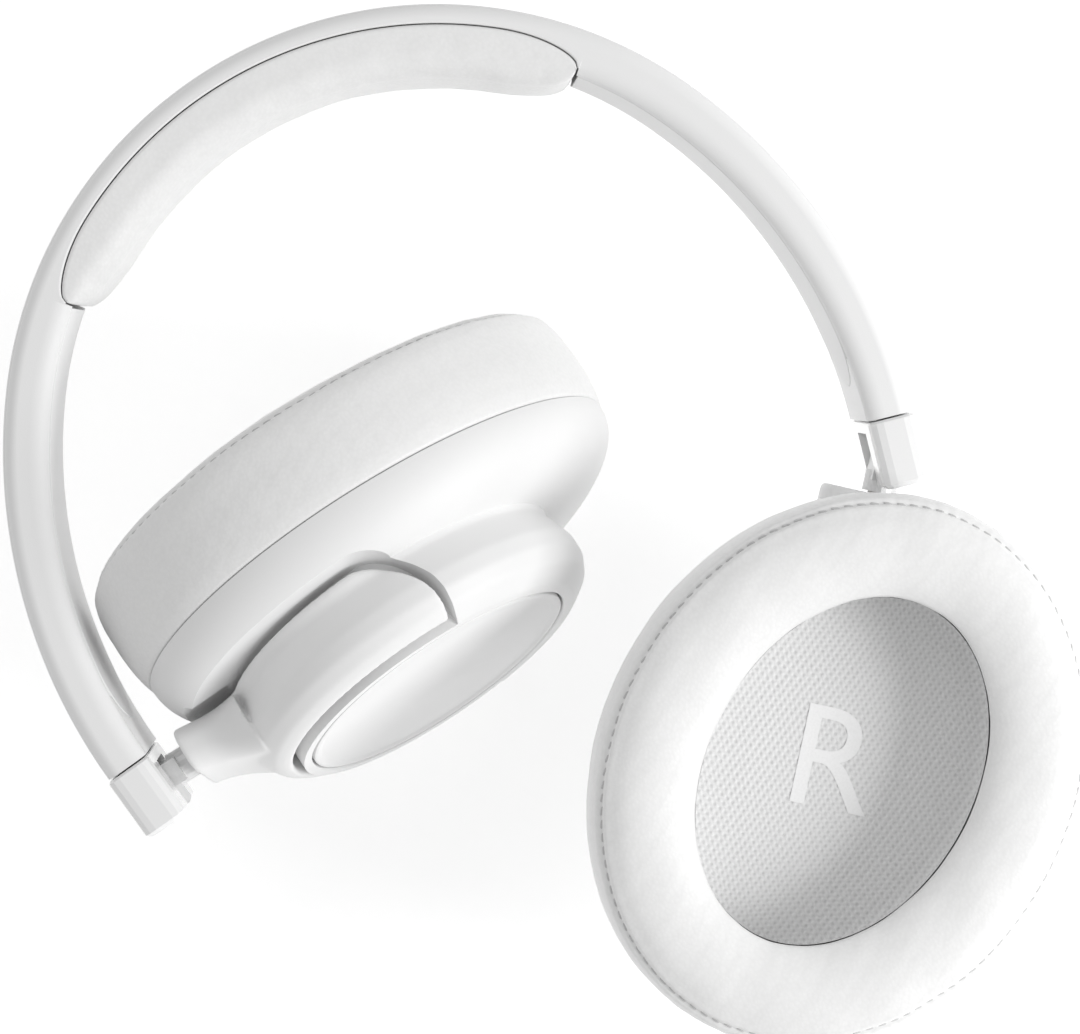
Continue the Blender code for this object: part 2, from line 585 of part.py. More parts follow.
def build_controls(housing, side, slant, looks):
    """The right cup's buttons and charging socket, on its rear and lower edge."""
    place = cup_frames["right"]
    for name, angle in BUTTON_ANGLES.items():
        spot = bowl_surface(side * angle, BUTTON_HEIGHT, slant)
        out = outward_at(side * angle, BUTTON_HEIGHT, slant)
        turn = out.to_track_quat("Z", "Y").to_matrix().to_4x4()
        seat = frame(f"{name}_frame", place, Matrix.Translation(spot) @ turn)
        tip = BUTTON_PROUD
        stations = ((tip - BUTTON_LENGTH, BUTTON_RADIUS), (tip - 0.4, BUTTON_RADIUS), (tip, BUTTON_RADIUS - 0.5))
        solid(name, [circle((0, 0, z), radius, (0, 0, 1)) for z, radius in stations], seat, looks["shell"])
        hole = cylinder((0, 0, -BUTTON_LENGTH - 1), (0, 0, 4), BUTTON_RADIUS + GAP)
        boolean(housing, "DIFFERENCE", f"{name}_hole", hole, seat)
    spot = bowl_surface(0.0, BUTTON_HEIGHT, slant)
    length, width, height = SOCKET_SIZE
    low = (spot.x - length - 1.0, -width / 2, BUTTON_HEIGHT - height / 2)
    high = (spot.x - 1.0, width / 2, BUTTON_HEIGHT + height / 2)
    socket = solid("charging_socket", box(low, high), place, looks["steel"])
    mouth = box((high[0] - 5.0, low[1] + 0.5, low[2] + 0.5), (high[0] + 2, high[1] - 0.5, high[2] - 0.5))
    boolean(socket, "DIFFERENCE", "socket_mouth", mouth, place)
    around = box((low[0] - 2, low[1] - GAP, low[2] - GAP), (high[0] + 8, high[1] + GAP, high[2] + GAP))
    boolean(housing, "DIFFERENCE", "socket_hole", around, place)


def build_electronics(looks):
    """The battery in the left cup and the circuit board in the right one, behind the drivers."""
    floor = FACE_HEIGHT + CAP_THICKNESS + GAP + CUP_WALL
    battery = box((-DRUM_OFFSET - 14, -15, floor + GAP), (-DRUM_OFFSET + 14, 15, floor + GAP + 4.5))
    solid("battery", battery, cup_frames["left"], looks["foil"])
    board = [oval(20, 20, z, 0.0, -DRUM_OFFSET, 24) for z in (floor + 2.0, floor + 3.2)]
    solid("circuit_board", board, cup_frames["right"], looks["board"])


def cup_place(name):
    """The cup's frame in the yoke's, at rest: turned by the tilt about the pins' axis."""
    turn = Matrix.Rotation(math.radians(-CUP_TILT), 4, "Y")
    return tilt_place() @ turn @ Matrix.Translation((DRUM_OFFSET, 0, -TILT_HEIGHT))


def tilt_place():
    return Matrix.Translation((NECK_TO_CUP - DRUM_OFFSET, 0, NECK_BELOW + TILT_HEIGHT))


slider_frames = {}
fold_frames = {}
swivel_frames = {}
tilt_frames = {}
cup_frames = {}


def stand_at_origin(root):
    """Moves the root so that the middle of the bounding box's bottom is at the world's origin."""
    bpy.context.view_layer.update()
    graph = bpy.context.evaluated_depsgraph_get()
    points = []
    for node in bpy.data.objects:
        if node.type != "MESH" or node.hide_render:
            continue
        shape = node.evaluated_get(graph)
        points += [shape.matrix_world @ vertex.co for vertex in shape.data.vertices]
    points = np.array(points)
    low, high = points.min(axis=0), points.max(axis=0)
    root.location -= Vector(((low[0] + high[0]) / 2, (low[1] + high[1]) / 2, low[2]))
    bpy.context.view_layer.update()


def build():
    clear_scene()
    looks = {
        "shell": material("matte_white_plastic", WHITE_PLASTIC, 0.45),
        "gloss": material("gloss_white_plastic", (0.84, 0.84, 0.84, 1.0), 0.12),
        "leather": material("white_leatherette", (0.80, 0.80, 0.79, 1.0), 0.55),
        "fabric": material("knit_scrim", (0.74, 0.74, 0.73, 1.0), 0.9),
        "dark": material("black_plastic", (0.05, 0.05, 0.05, 1.0), 0.5),
        "steel": material("steel", (0.62, 0.62, 0.63, 1.0), 0.3, 1.0),
        "dark_metal": material("cast_metal", (0.45, 0.45, 0.46, 1.0), 0.35, 1.0),
        "brass": material("bush_brass", (0.72, 0.55, 0.25, 1.0), 0.35, 1.0),
        "film": material("diaphragm_film", (0.16, 0.16, 0.17, 1.0), 0.4),
        "foil": material("battery_wrap", (0.2, 0.22, 0.26, 1.0), 0.5),
        "board": material("circuit_board_green", (0.03, 0.17, 0.08, 1.0), 0.5),
    }
    tipped = Matrix.Rotation(math.radians(REST_TILT[1]), 4, "Y") @ Matrix.Rotation(math.radians(REST_TILT[0]), 4, "X")
    root = frame("headband_frame", None, tipped)
    for name, side in SIDES:
        end = end_frame(side)
        crown = math.radians(CROWN_ANGLE)
        flank = Vector((side * math.sin(crown), math.cos(crown), 0)) * (CROWN_RADIUS - FLANK_RADIUS)
        track = frame(f"{name}_slider_track", root, Matrix.Translation(flank))
        slider_frames[name] = frame(f"{name}_slider_frame", track, Matrix.Translation(-flank) @ end)
        pivot = end @ Vector((PIVOT_DROP, 0, 0))
        neck = fold_direction(name, side)
        fold = axes(pivot, neck, (0, 0, 1))
        fold_frames[name] = frame(f"{name}_fold_frame", slider_frames[name], end.inverted() @ fold)
        swivel = axes(pivot, neck, pad_normal(name, side))
        swivel_frames[name] = frame(f"{name}_swivel_frame", fold_frames[name], fold.inverted() @ swivel)
        turn = Matrix.Rotation(math.radians(-CUP_TILT), 4, "Y")
        tilt_frames[name] = frame(f"{name}_tilt_frame", swivel_frames[name], tilt_place() @ turn)
        middle = Matrix.Translation((DRUM_OFFSET, 0, -TILT_HEIGHT))
        cup_frames[name] = frame(f"{name}_cup_frame", tilt_frames[name], middle)
    build_headband(root, looks)
    for name, side in SIDES:
        slant = math.radians(-side * PAD_SLANT)
        build_slider(name, side, looks)
        build_knuckle(name, looks)
        build_yoke(name, side, looks)
        housing = build_housing(name, side, slant, looks)
        build_inside(name, slant, looks)
        build_pad(name, slant, looks)
        if name == "right":
            build_controls(housing, side, slant, looks)
    build_electronics(looks)
    stand_at_origin(root)


build()
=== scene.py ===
import json
import math

import bpy
import numpy as np
from mathutils import Matrix, Vector


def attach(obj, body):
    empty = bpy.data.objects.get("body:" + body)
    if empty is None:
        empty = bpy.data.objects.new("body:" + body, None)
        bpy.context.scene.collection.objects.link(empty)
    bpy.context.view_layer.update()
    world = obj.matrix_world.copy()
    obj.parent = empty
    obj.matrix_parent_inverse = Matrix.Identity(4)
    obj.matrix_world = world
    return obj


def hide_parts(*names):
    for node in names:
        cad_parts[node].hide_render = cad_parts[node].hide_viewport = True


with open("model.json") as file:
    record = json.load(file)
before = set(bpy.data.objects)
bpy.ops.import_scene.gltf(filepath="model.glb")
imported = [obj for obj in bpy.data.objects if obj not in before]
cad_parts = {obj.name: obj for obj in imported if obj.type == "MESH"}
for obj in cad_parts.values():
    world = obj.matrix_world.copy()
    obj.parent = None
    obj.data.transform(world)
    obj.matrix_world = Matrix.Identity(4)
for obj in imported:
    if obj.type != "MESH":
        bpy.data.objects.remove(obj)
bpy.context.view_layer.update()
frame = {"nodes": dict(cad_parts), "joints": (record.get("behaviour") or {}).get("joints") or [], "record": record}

# ------------------------------------------------------------------ places of the parts
# The object is a chain of frames: headband, slider, fold pin, neck and cup on each side.
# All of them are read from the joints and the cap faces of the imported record, in millimetres.

MM = 0.001
SIDES = (("left", -1), ("right", 1))
CROWN_RADIUS = 70.0
CROWN_ANGLE = math.radians(59.0)
FLANK_RADIUS = 92.2
BAND_END = 100.6
PIVOT_DROP = 5.4
DRUM_OFFSET = 4.3
TILT_HEIGHT = -16.0

joints = {joint["name"]: joint for joint in frame["joints"]}
mounts = {mount["name"]: mount for mount in frame["record"]["mounts"]}


def unit(vector):
    """The vector at length one."""
    vector = np.asarray(vector, float)
    return vector / np.linalg.norm(vector)


def frame_matrix(x_axis, z_axis, origin):
    """4x4 matrix from an origin in millimetres and the X and Z axes, Y completing the right hand."""
    made = np.eye(4)
    made[:3, 0], made[:3, 2] = unit(x_axis), unit(z_axis)
    made[:3, 1] = np.cross(made[:3, 2], made[:3, 0])
    made[:3, 3] = origin
    return made


def joint_place(name):
    """The joint's point in millimetres and its axis."""
    return np.array(joints[name]["pos_m"]) / MM, unit(joints[name]["axis"])


flank_centres = {name: joint_place(f"{name}_extend")[0] for name, _ in SIDES}
band_up = -joint_place("right_extend")[1]
band_right = unit(flank_centres["left"] - flank_centres["right"])
crown_centre = sum(flank_centres.values()) / 2
crown_centre = (crown_centre
                + np.cross(band_up, band_right) * (FLANK_RADIUS - CROWN_RADIUS) * math.cos(CROWN_ANGLE))
band_place = frame_matrix(band_right, band_up, crown_centre)

neck_places, cup_places, end_places = {}, {}, {}
for name, side in SIDES:
    pivot = joint_place(f"{name}_fold")[0]
    neck_axis = -joint_place(f"{name}_swivel")[1]
    tilt_point, across = joint_place(f"{name}_tilt")
    pad_normal = -unit(mounts[f"{name}_cap_face"]["axis"])
    neck_places[name] = frame_matrix(neck_axis, np.cross(neck_axis, across), pivot)
    away = np.cross(across, pad_normal)
    cup_places[name] = frame_matrix(away, pad_normal,
                                    tilt_point + away * DRUM_OFFSET - pad_normal * TILT_HEIGHT)
    turn = math.radians(BAND_END)
    along = band_place[:3, :3] @ np.array([side * math.cos(turn), -math.sin(turn), 0])
    end_places[name] = frame_matrix(along, band_up, pivot - along * PIVOT_DROP)


# ------------------------------------------------------------------ camera, table and light
# The object lies on a white table in a bright white room and is seen almost square to its headband.
# A broad soft light stands beyond the right cup, and a weaker one fills from the left.

CAMERA_TILT = Matrix.Rotation(0.0576, 3, Vector((0.045, 0.036, 0.0)))
CAMERA_ROLL = Matrix.Rotation(0.431, 3, "Z")
CAMERA_OFFSET = Vector((-17.513, 13.62, -619.88))
CAMERA_LENS = 119.42
ROOM_LIGHT = 0.56
TABLE_HALF = 900.0

into_camera = CAMERA_TILT @ CAMERA_ROLL
camera_turn = Matrix(band_place[:3, :3].tolist()) @ into_camera.transposed()
camera_point = Matrix(band_place.tolist()) @ (into_camera.transposed() @ -CAMERA_OFFSET)
camera_data = bpy.data.cameras.new("camera")
camera_data.lens = CAMERA_LENS
camera_data.sensor_width = 36.0
camera_data.clip_start = 0.01
camera = bpy.data.objects.new("camera", camera_data)
camera.matrix_world = Matrix.Translation(camera_point * MM) @ camera_turn.to_4x4()
bpy.context.collection.objects.link(camera)
bpy.context.scene.camera = camera
bpy.context.scene.view_settings.view_transform = "Standard"


def wire(material, kind, **values):
    """A shader node: lower-case words set its own settings, others its sockets, to a number or a link."""
    tree = material.node_tree
    made = tree.nodes.new(kind)
    for key, value in values.items():
        if key[0].islower():
            setattr(made, key, value)
            continue
        socket = made.inputs[int(key[1:])] if key[1:].isdigit() else made.inputs[key.replace("_", " ")]
        if isinstance(value, bpy.types.NodeSocket):
            tree.links.new(value, socket)
        else:
            socket.default_value = value
    return made


def new_look(name, colour, roughness, **values):
    """A material with one Principled shader, the given values on its own sockets."""
    material = bpy.data.materials.new(name)
    material.use_nodes = True
    shader = material.node_tree.nodes["Principled BSDF"]
    shader.inputs["Base Color"].default_value = (*colour, 1.0)
    shader.inputs["Roughness"].default_value = roughness
    for key, value in values.items():
        shader.inputs[key.replace("_", " ")].default_value = value
    return material, shader


def tint(material, shader, factor, dark, light):
    """The shader's colour runs from dark to light with the factor."""
    mix = wire(material, "ShaderNodeMix", data_type="RGBA", Factor=factor)
    mix.inputs[6].default_value = (*dark, 1.0)
    mix.inputs[7].default_value = (*light, 1.0)
    material.node_tree.links.new(mix.outputs[2], shader.inputs["Base Color"])


def relief(material, shader, height, depth, strength=1.0):
    """Bump from a height socket, whose full range stands for depth in metres."""
    bump = wire(material, "ShaderNodeBump", Strength=strength, Distance=depth, Height=height)
    material.node_tree.links.new(bump.outputs["Normal"], shader.inputs["Normal"])


def span(material, value, low, high):
    """A socket that runs from low to high while value runs from 0 to 1."""
    made = wire(material, "ShaderNodeMapRange", Value=value)
    made.inputs["To Min"].default_value = low
    made.inputs["To Max"].default_value = high
    return made.outputs["Result"]


def object_noise(material, scale, detail=2.0, **values):
    """Noise on Object coordinates, so many ups and downs to the metre."""
    where = wire(material, "ShaderNodeTexCoord").outputs["Object"]
    return wire(material, "ShaderNodeTexNoise", Vector=where, Scale=scale, Detail=detail,
                **values).outputs[0]


def in_room(points, place):
    """Points from a frame in millimetres to the room in metres: turned, moved and scaled."""
    points = np.asarray(points, float)
    return (points @ place[:3, :3].T + place[:3, 3]) * MM


def surface(name, rings, place, material, closed=True, looped=False, flat_ends=True, marks=None,
            sharp=40.0):
    """A mesh through rings of points: a face joins each point to the next on its ring and on the next ring.

    closed joins each ring's last point to its first, looped the last ring to the first, and flat_ends puts
    a fan over each end. marks are two numbers for each point that become the mesh's own UV map.
    """
    count, around = rings.shape[:2]
    points = rings.reshape(-1, 3)
    ring = np.arange(count if looped else count - 1)[:, None]
    step = np.arange(around if closed else around - 1)[None, :]
    after = (step + 1) % around
    low, high = ring * around, (ring + 1) % count * around
    faces = np.stack([low + step, low + after, high + after, high + step], -1).reshape(-1, 4).tolist()
    if closed and flat_ends and not looped:
        points = np.vstack([points, rings[0].mean(0), rings[-1].mean(0)])
        last, edge = (count - 1) * around, after[0]
        faces += np.stack([edge, step[0], np.full(around, count * around)], -1).tolist()
        faces += np.stack([last + step[0], last + edge, np.full(around, count * around + 1)], -1).tolist()
    points = in_room(points, place)
    corners = np.array([face[:3] for face in faces])
    spots = points[corners] - points.mean(0)
    if closed and np.einsum("ij,ij->i", spots[:, 0], np.cross(spots[:, 1], spots[:, 2])).sum() < 0:
        faces = [face[::-1] for face in faces]
    mesh = bpy.data.meshes.new(name)
    mesh.from_pydata(points.tolist(), [], faces)
    mesh.update()
    if marks is not None:
        corner = np.empty(len(mesh.loops), np.int32)
        mesh.loops.foreach_get("vertex_index", corner)
        chart = mesh.uv_layers.new(name="chart")
        chart.data.foreach_set("uv", np.asarray(marks, np.float32).reshape(-1, 2)[corner].ravel())
    mesh.shade_smooth()
    mesh.set_sharp_from_angle(angle=math.radians(sharp))
    mesh.materials.append(material)
    piece = bpy.data.objects.new(name, mesh)
    bpy.context.collection.objects.link(piece)
    return piece


room = bpy.data.worlds.new("room")
room.use_nodes = True
room.node_tree.nodes["Background"].inputs["Color"].default_value = (1.0, 1.0, 1.0, 1.0)
room.node_tree.nodes["Background"].inputs["Strength"].default_value = ROOM_LIGHT
bpy.context.scene.world = room

table_look, table_shader = new_look(
    "white_table", (0.97, 0.97, 0.97), 0.9, Specular_IOR_Level=0.1, Emission_Color=(1, 1, 1, 1),
    Emission_Strength=0.36)
tint(table_look, table_shader, object_noise(table_look, 40.0), (0.965, 0.965, 0.965), (0.98, 0.98, 0.98))
corners = np.array([[(-1, -1, 0), (1, -1, 0)], [(-1, 1, 0), (1, 1, 0)]], float) * TABLE_HALF
table_top = surface("table_top", corners, np.eye(4), table_look, closed=False)

LIGHTS = (
    ("key_light", (560.0, -120.0, 430.0), 300.0, 2.9),
    ("fill_light", (-320.0, 480.0, 480.0), 520.0, 0.45),
)
for name, place, size, power in LIGHTS:
    data = bpy.data.lights.new(name, "AREA")
    data.size = size * MM
    data.energy = power
    light = bpy.data.objects.new(name, data)
    spot = camera_turn @ Vector(place)
    light.location = spot * MM
    light.rotation_euler = (-spot).to_track_quat("-Z", "Y").to_euler()
    bpy.context.collection.objects.link(light)


# ------------------------------------------------------------------ headband shell
# The headband's outside is one moulded channel of matte white plastic, open towards the head. Its back is
# slightly crowned, its edges are well rounded, and at the crown it stops at the seam with the cushion.

BAND_WIDTH = 28.0
BAND_DEPTH = 8.3
BAND_WALL = 2.1
BAND_CROWN = 0.45
EDGE_ROUND = (2.7, 3.2)
FLANK_LIP_ROUND = (3.0, 2.0)
SEAM_LIP_ROUND = (0.35, 0.35)
PARTING_DEPTH = 0.16
PARTING_TURN = 1.0
SEAT_ANGLE = 45.3
CUSHION_ANGLE = 45.0
CUSHION_TAPER = 12.0
SEAM_GAP = 0.2


def along_band(angles, offsets, widths):
    """Points of the headband: the crown's arc about the origin, then each flank's wider, tangent arc."""
    side = np.where(angles < 0, -1.0, 1.0)
    turn = np.radians(np.abs(angles))
    flank = turn > CROWN_ANGLE
    radius = np.where(flank, FLANK_RADIUS, CROWN_RADIUS) + offsets
    back = np.where(flank, CROWN_RADIUS - FLANK_RADIUS, 0.0)
    x = back * math.sin(CROWN_ANGLE) + radius * np.sin(turn)
    y = back * math.cos(CROWN_ANGLE) + radius * np.cos(turn)
    return np.stack([side * x, y, widths + 0.0 * x], -1)


def cushion_top(angles):
    """Height of the cushion's upper edge: it runs out along a quarter ellipse at each end."""
    rest = np.clip((CUSHION_ANGLE - np.abs(angles)) / CUSHION_TAPER, 0, 1)
    fade = np.sqrt(1 - (1 - rest) ** 2)
    return -BAND_DEPTH / 2 + 1.0 + 3.2 * fade, fade


def shell_outline(lip, lip_round):
    """Half of the channel's outside, from the lip's inner corner to mid-back, as (offset, width).

    The lip and the outer edge are quarter ellipses, the side between them is straight, and a fine
    parting groove, a bell curve cut along the normal, runs round the outer edge.
    """
    half, deep = BAND_WIDTH / 2, BAND_DEPTH / 2
    high, wide = lip_round
    turn = np.linspace(0, math.pi / 2, 12)
    rim = np.stack([lip + high * (1 - np.sin(turn)), half - wide + wide * np.cos(turn)], -1)[::-1]
    start = deep - BAND_CROWN - EDGE_ROUND[0]
    side = np.stack([np.linspace(lip + high, start, 10)[1:-1], np.full(8, half)], -1)
    turn = np.linspace(0, math.pi / 2, 36)
    edge = np.stack([start + EDGE_ROUND[0] * np.sin(turn), half - EDGE_ROUND[1] * (1 - np.cos(turn))], -1)
    groove = PARTING_DEPTH * np.exp(-((turn - PARTING_TURN) / 0.055) ** 2)
    edge -= groove[:, None] * np.stack([np.sin(turn), np.cos(turn)], -1)
    width = np.linspace(half - EDGE_ROUND[1], 0, 12)[1:]
    back = np.stack([deep - BAND_CROWN * (width / (half - EDGE_ROUND[1])) ** 2, width], -1)
    return np.vstack([rim, side, edge, back])


matte_shell, shader = new_look("matte_white_shell", (0.84, 0.84, 0.84), 0.5, Specular_IOR_Level=0.4)
tint(matte_shell, shader, object_noise(matte_shell, 30.0), (0.825, 0.825, 0.824), (0.85, 0.85, 0.85))
ridge = wire(matte_shell, "ShaderNodeNewGeometry").outputs["Pointiness"]
worn = wire(matte_shell, "ShaderNodeMapRange", Value=ridge)
worn.inputs["From Min"].default_value = 0.5
worn.inputs["From Max"].default_value = 0.62
worn.inputs["To Min"].default_value = 0.5
worn.inputs["To Max"].default_value = 0.34
haze = wire(matte_shell, "ShaderNodeMath", operation="MULTIPLY_ADD",
            I0=object_noise(matte_shell, 140.0, 4.0), I1=0.1)
matte_shell.node_tree.links.new(worn.outputs["Result"], haze.inputs[2])
matte_shell.node_tree.links.new(haze.outputs["Value"], shader.inputs["Roughness"])
relief(matte_shell, shader, object_noise(matte_shell, 4200.0, 1.0), 0.00002, 0.5)

angles = np.linspace(-BAND_END, BAND_END, 443)
angles = np.sort(np.append(angles,
                           (-SEAT_ANGLE - 0.03, -SEAT_ANGLE + 0.03, SEAT_ANGLE - 0.03, SEAT_ANGLE + 0.03)))
padded_arc = np.abs(angles) < SEAT_ANGLE
lips = np.where(padded_arc, cushion_top(angles)[0] + SEAM_GAP, -BAND_DEPTH / 2)
halves = np.array([shell_outline(lip, SEAM_LIP_ROUND if seamed else FLANK_LIP_ROUND)
                   for lip, seamed in zip(lips, padded_arc)])
inner = BAND_WIDTH / 2 - BAND_WALL
roof = BAND_DEPTH / 2 - BAND_WALL
wall = np.array([[(lip, inner), (lip * 0.5 + roof * 0.5, inner), (roof - 0.4, inner), (roof, inner - 0.4),
                  (roof, 0.0)]
                 for lip in lips])
half = np.concatenate([wall[:, ::-1], halves], axis=1)
outline = np.concatenate([half, half[:, -2:0:-1] * (1, -1)], axis=1)
rings = along_band(angles[:, None], outline[..., 0], outline[..., 1])
shell = surface("headband_channel", rings, band_place, matte_shell)
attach(shell, "headband")
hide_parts("headband_shell")


# ------------------------------------------------------------------ headband cushion
# A soft foam pad in white leatherette under the crown. It bulges a little below the seam, its underside is
# crowned, and its cover lies in faint creases. A cloth simulation blows the cover up over the foam.

CUSHION_HALF = 13.9
UPPER_ROUND = 0.7
LOWER_ROUND = 4.6
PUFF_LIMIT = 1.2


def soft_noise(seed, points, waves, height):
    """Smooth irregularities: a sum of plane sine waves in seeded directions, of about these lengths in mm."""
    draws = np.random.default_rng(seed)
    total = np.zeros(points.shape[:-1])
    for wave in waves:
        direction = unit(draws.normal(size=3))
        total += np.sin(points @ direction * (2 * math.pi / wave) + draws.uniform(0, 2 * math.pi))
    return total * height / math.sqrt(len(waves))


def ring_normals(rings, looped=False):
    """Unit normals of a grid of closed rings, outward or inward, from steps along its rows and columns."""
    around = np.roll(rings, -1, 1) - np.roll(rings, 1, 1)
    across = np.roll(rings, -1, 0) - np.roll(rings, 1, 0) if looped else np.gradient(rings, axis=0)
    normals = np.cross(around, across)
    return normals / np.maximum(np.linalg.norm(normals, axis=-1, keepdims=True), 1e-9)


def puffed(rings, looped, held, pressure=4.0, voxel=4.0):
    """The grid's points after its cover is blown up by a cloth simulation.

    A coarse closed copy is remeshed, its held points pinned and the rest blown up over twenty frames.
    The capped movement is then spread back to the fine grid with weights that fall off as a bell curve.
    """
    rough, _ = new_look("rough_cover", (0.8, 0.8, 0.8), 0.5)
    copy = surface("rough_cover", rings, np.eye(4), rough, looped=looped)
    remesh = copy.modifiers.new("coarse", "REMESH")
    remesh.mode = "VOXEL"
    remesh.voxel_size = voxel * MM
    graph = bpy.context.evaluated_depsgraph_get()
    copy.data = bpy.data.meshes.new_from_object(copy.evaluated_get(graph))
    copy.modifiers.clear()
    count = len(copy.data.vertices)
    before = np.empty(count * 3)
    copy.data.vertices.foreach_get("co", before)
    before = before.reshape(-1, 3)
    pins = copy.vertex_groups.new(name="pins")
    pins.add(np.flatnonzero(held(before / MM)).tolist(), 1.0, "REPLACE")
    cloth = copy.modifiers.new("cover", "CLOTH")
    cloth.settings.vertex_group_mass = "pins"
    cloth.settings.use_pressure = True
    cloth.settings.uniform_pressure_force = pressure
    cloth.settings.effector_weights.gravity = 0.0
    cloth.settings.quality = 4
    cloth.settings.mass = 0.15
    for frame_number in range(1, 21):
        bpy.context.scene.frame_set(frame_number)
    graph = bpy.context.evaluated_depsgraph_get()
    blown = bpy.data.meshes.new_from_object(copy.evaluated_get(graph))
    after = np.empty(count * 3)
    blown.vertices.foreach_get("co", after)
    moved = (after.reshape(-1, 3) - before) / MM
    far = np.linalg.norm(moved, axis=1, keepdims=True)
    moved *= np.minimum(1.0, PUFF_LIMIT / np.maximum(far, 1e-9))
    bpy.data.objects.remove(copy)
    bpy.context.scene.frame_set(1)
    points = rings.reshape(-1, 3)
    spread = []
    for part in np.array_split(points, max(1, len(points) // 4000)):
        apart = ((part[:, None] - before[None] / MM) ** 2).sum(-1)
        weight = np.exp(-apart / (2 * (0.8 * voxel) ** 2)) + 1e-12
        spread.append(weight @ moved / weight.sum(1, keepdims=True))
    return rings + np.vstack(spread).reshape(rings.shape)


leatherette, shader = new_look("white_leatherette", (0.83, 0.83, 0.825), 0.5, Specular_IOR_Level=0.45,
                               Sheen_Weight=0.06)
where = wire(leatherette, "ShaderNodeTexCoord").outputs["Object"]
bent = object_noise(leatherette, 260.0, 2.0)
shifted = wire(leatherette, "ShaderNodeVectorMath", operation="MULTIPLY_ADD", I0=bent,
               I1=(0.0006, 0.0006, 0.0006), I2=where)
pebbles = wire(leatherette, "ShaderNodeTexVoronoi", Vector=shifted.outputs["Vector"], Scale=1500.0,
               feature="SMOOTH_F1")
pebbles.inputs["Smoothness"].default_value = 0.5
grain = wire(leatherette, "ShaderNodeMath", operation="MULTIPLY_ADD", I0=pebbles.outputs["Distance"],
             I1=-0.8, I2=0.8)
creases = object_noise(leatherette, 420.0, 4.0)
height = wire(leatherette, "ShaderNodeMath", operation="MULTIPLY_ADD", I0=creases, I1=0.5,
              I2=grain.outputs["Value"])
relief(leatherette, shader, height.outputs["Value"], 0.00006, 0.5)
tint(leatherette, shader, height.outputs["Value"], (0.8, 0.8, 0.797), (0.85, 0.85, 0.848))
sheen = span(leatherette, height.outputs["Value"], 0.62, 0.44)
leatherette.node_tree.links.new(sheen, shader.inputs["Roughness"])

angles = np.linspace(-CUSHION_ANGLE, CUSHION_ANGLE, 241)
tops, fades = cushion_top(angles)
lows = -BAND_DEPTH / 2 - 0.4 - 4.6 * fades
outline = []
for top, low in zip(tops, lows):
    deep = top - low
    upper, lower = min(UPPER_ROUND, 0.3 * deep), min(LOWER_ROUND, 0.62 * deep)
    turn = np.linspace(0, math.pi / 2, 14)
    under = np.linspace(0, CUSHION_HALF - lower, 15)
    crown = 0.8 * min(1.0, deep / 6) * (1 - (under / (CUSHION_HALF - lower)) ** 2)
    below = np.stack([low + 0.5 - crown, under], -1)
    corner = np.stack([low + 0.5 + lower * (1 - np.cos(turn)), CUSHION_HALF - lower + lower * np.sin(turn)],
                      -1)[1:]
    rise = np.linspace(corner[-1, 0], top - upper, 8)[1:-1]
    side = np.stack([rise, np.full(6, CUSHION_HALF)], -1)
    edge = np.stack([top - upper + upper * np.sin(turn[::2]),
                     CUSHION_HALF - upper * (1 - np.cos(turn[::2]))], -1)
    over = np.stack([np.full(4, top), np.linspace(CUSHION_HALF - upper, 0, 5)[1:]], -1)
    half = np.vstack([below, corner, side, edge, over])
    outline.append(np.vstack([half, half[-2:0:-1] * (1, -1)]))
outline = np.array(outline)
rings = along_band(angles[:, None], outline[..., 0], outline[..., 1])
seated = rings
rings = puffed(rings, False, lambda spots: np.hypot(spots[:, 0], spots[:, 1]) > 67.0)
outward = ring_normals(seated)
outward *= np.sign((outward * (seated - seated.mean(1, keepdims=True))).sum())
below_seam = np.clip((tops[:, None] - 0.8 - outline[..., 0]) / 2.5, 0, 1)[..., None]
gentle = np.clip((CUSHION_ANGLE - np.abs(angles)) / 6, 0, 1)[:, None, None]
rings = seated + (rings - seated) * below_seam * gentle * 0.6
uneven = (soft_noise(3, seated, (7.0, 9.0, 13.0, 17.0, 5.0), 0.05)
          + soft_noise(5, seated * (1, 1, 0.35), (2.6, 3.4, 4.2), 0.02))
rings = rings + outward * (uneven[..., None] * below_seam * gentle)
cushion = surface("headband_pad", rings, band_place, leatherette, sharp=60.0)
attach(cushion, "headband")
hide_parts("headband_cushion")


# ------------------------------------------------------------------ inner covers and slider guides
# Below the cushion a slim plastic cover closes each flank's channel on the head's side and ends in a round
# tongue over the slider's guide block. Both are clipped in, so only their fine outlines show.

COVER_HALF = 11.7
COVER_START = 45.6
COVER_ROUND = 90.0
COVER_TIP = 96.6
COVER_PROUD = 0.14
COVER_DEPTH = 1.5

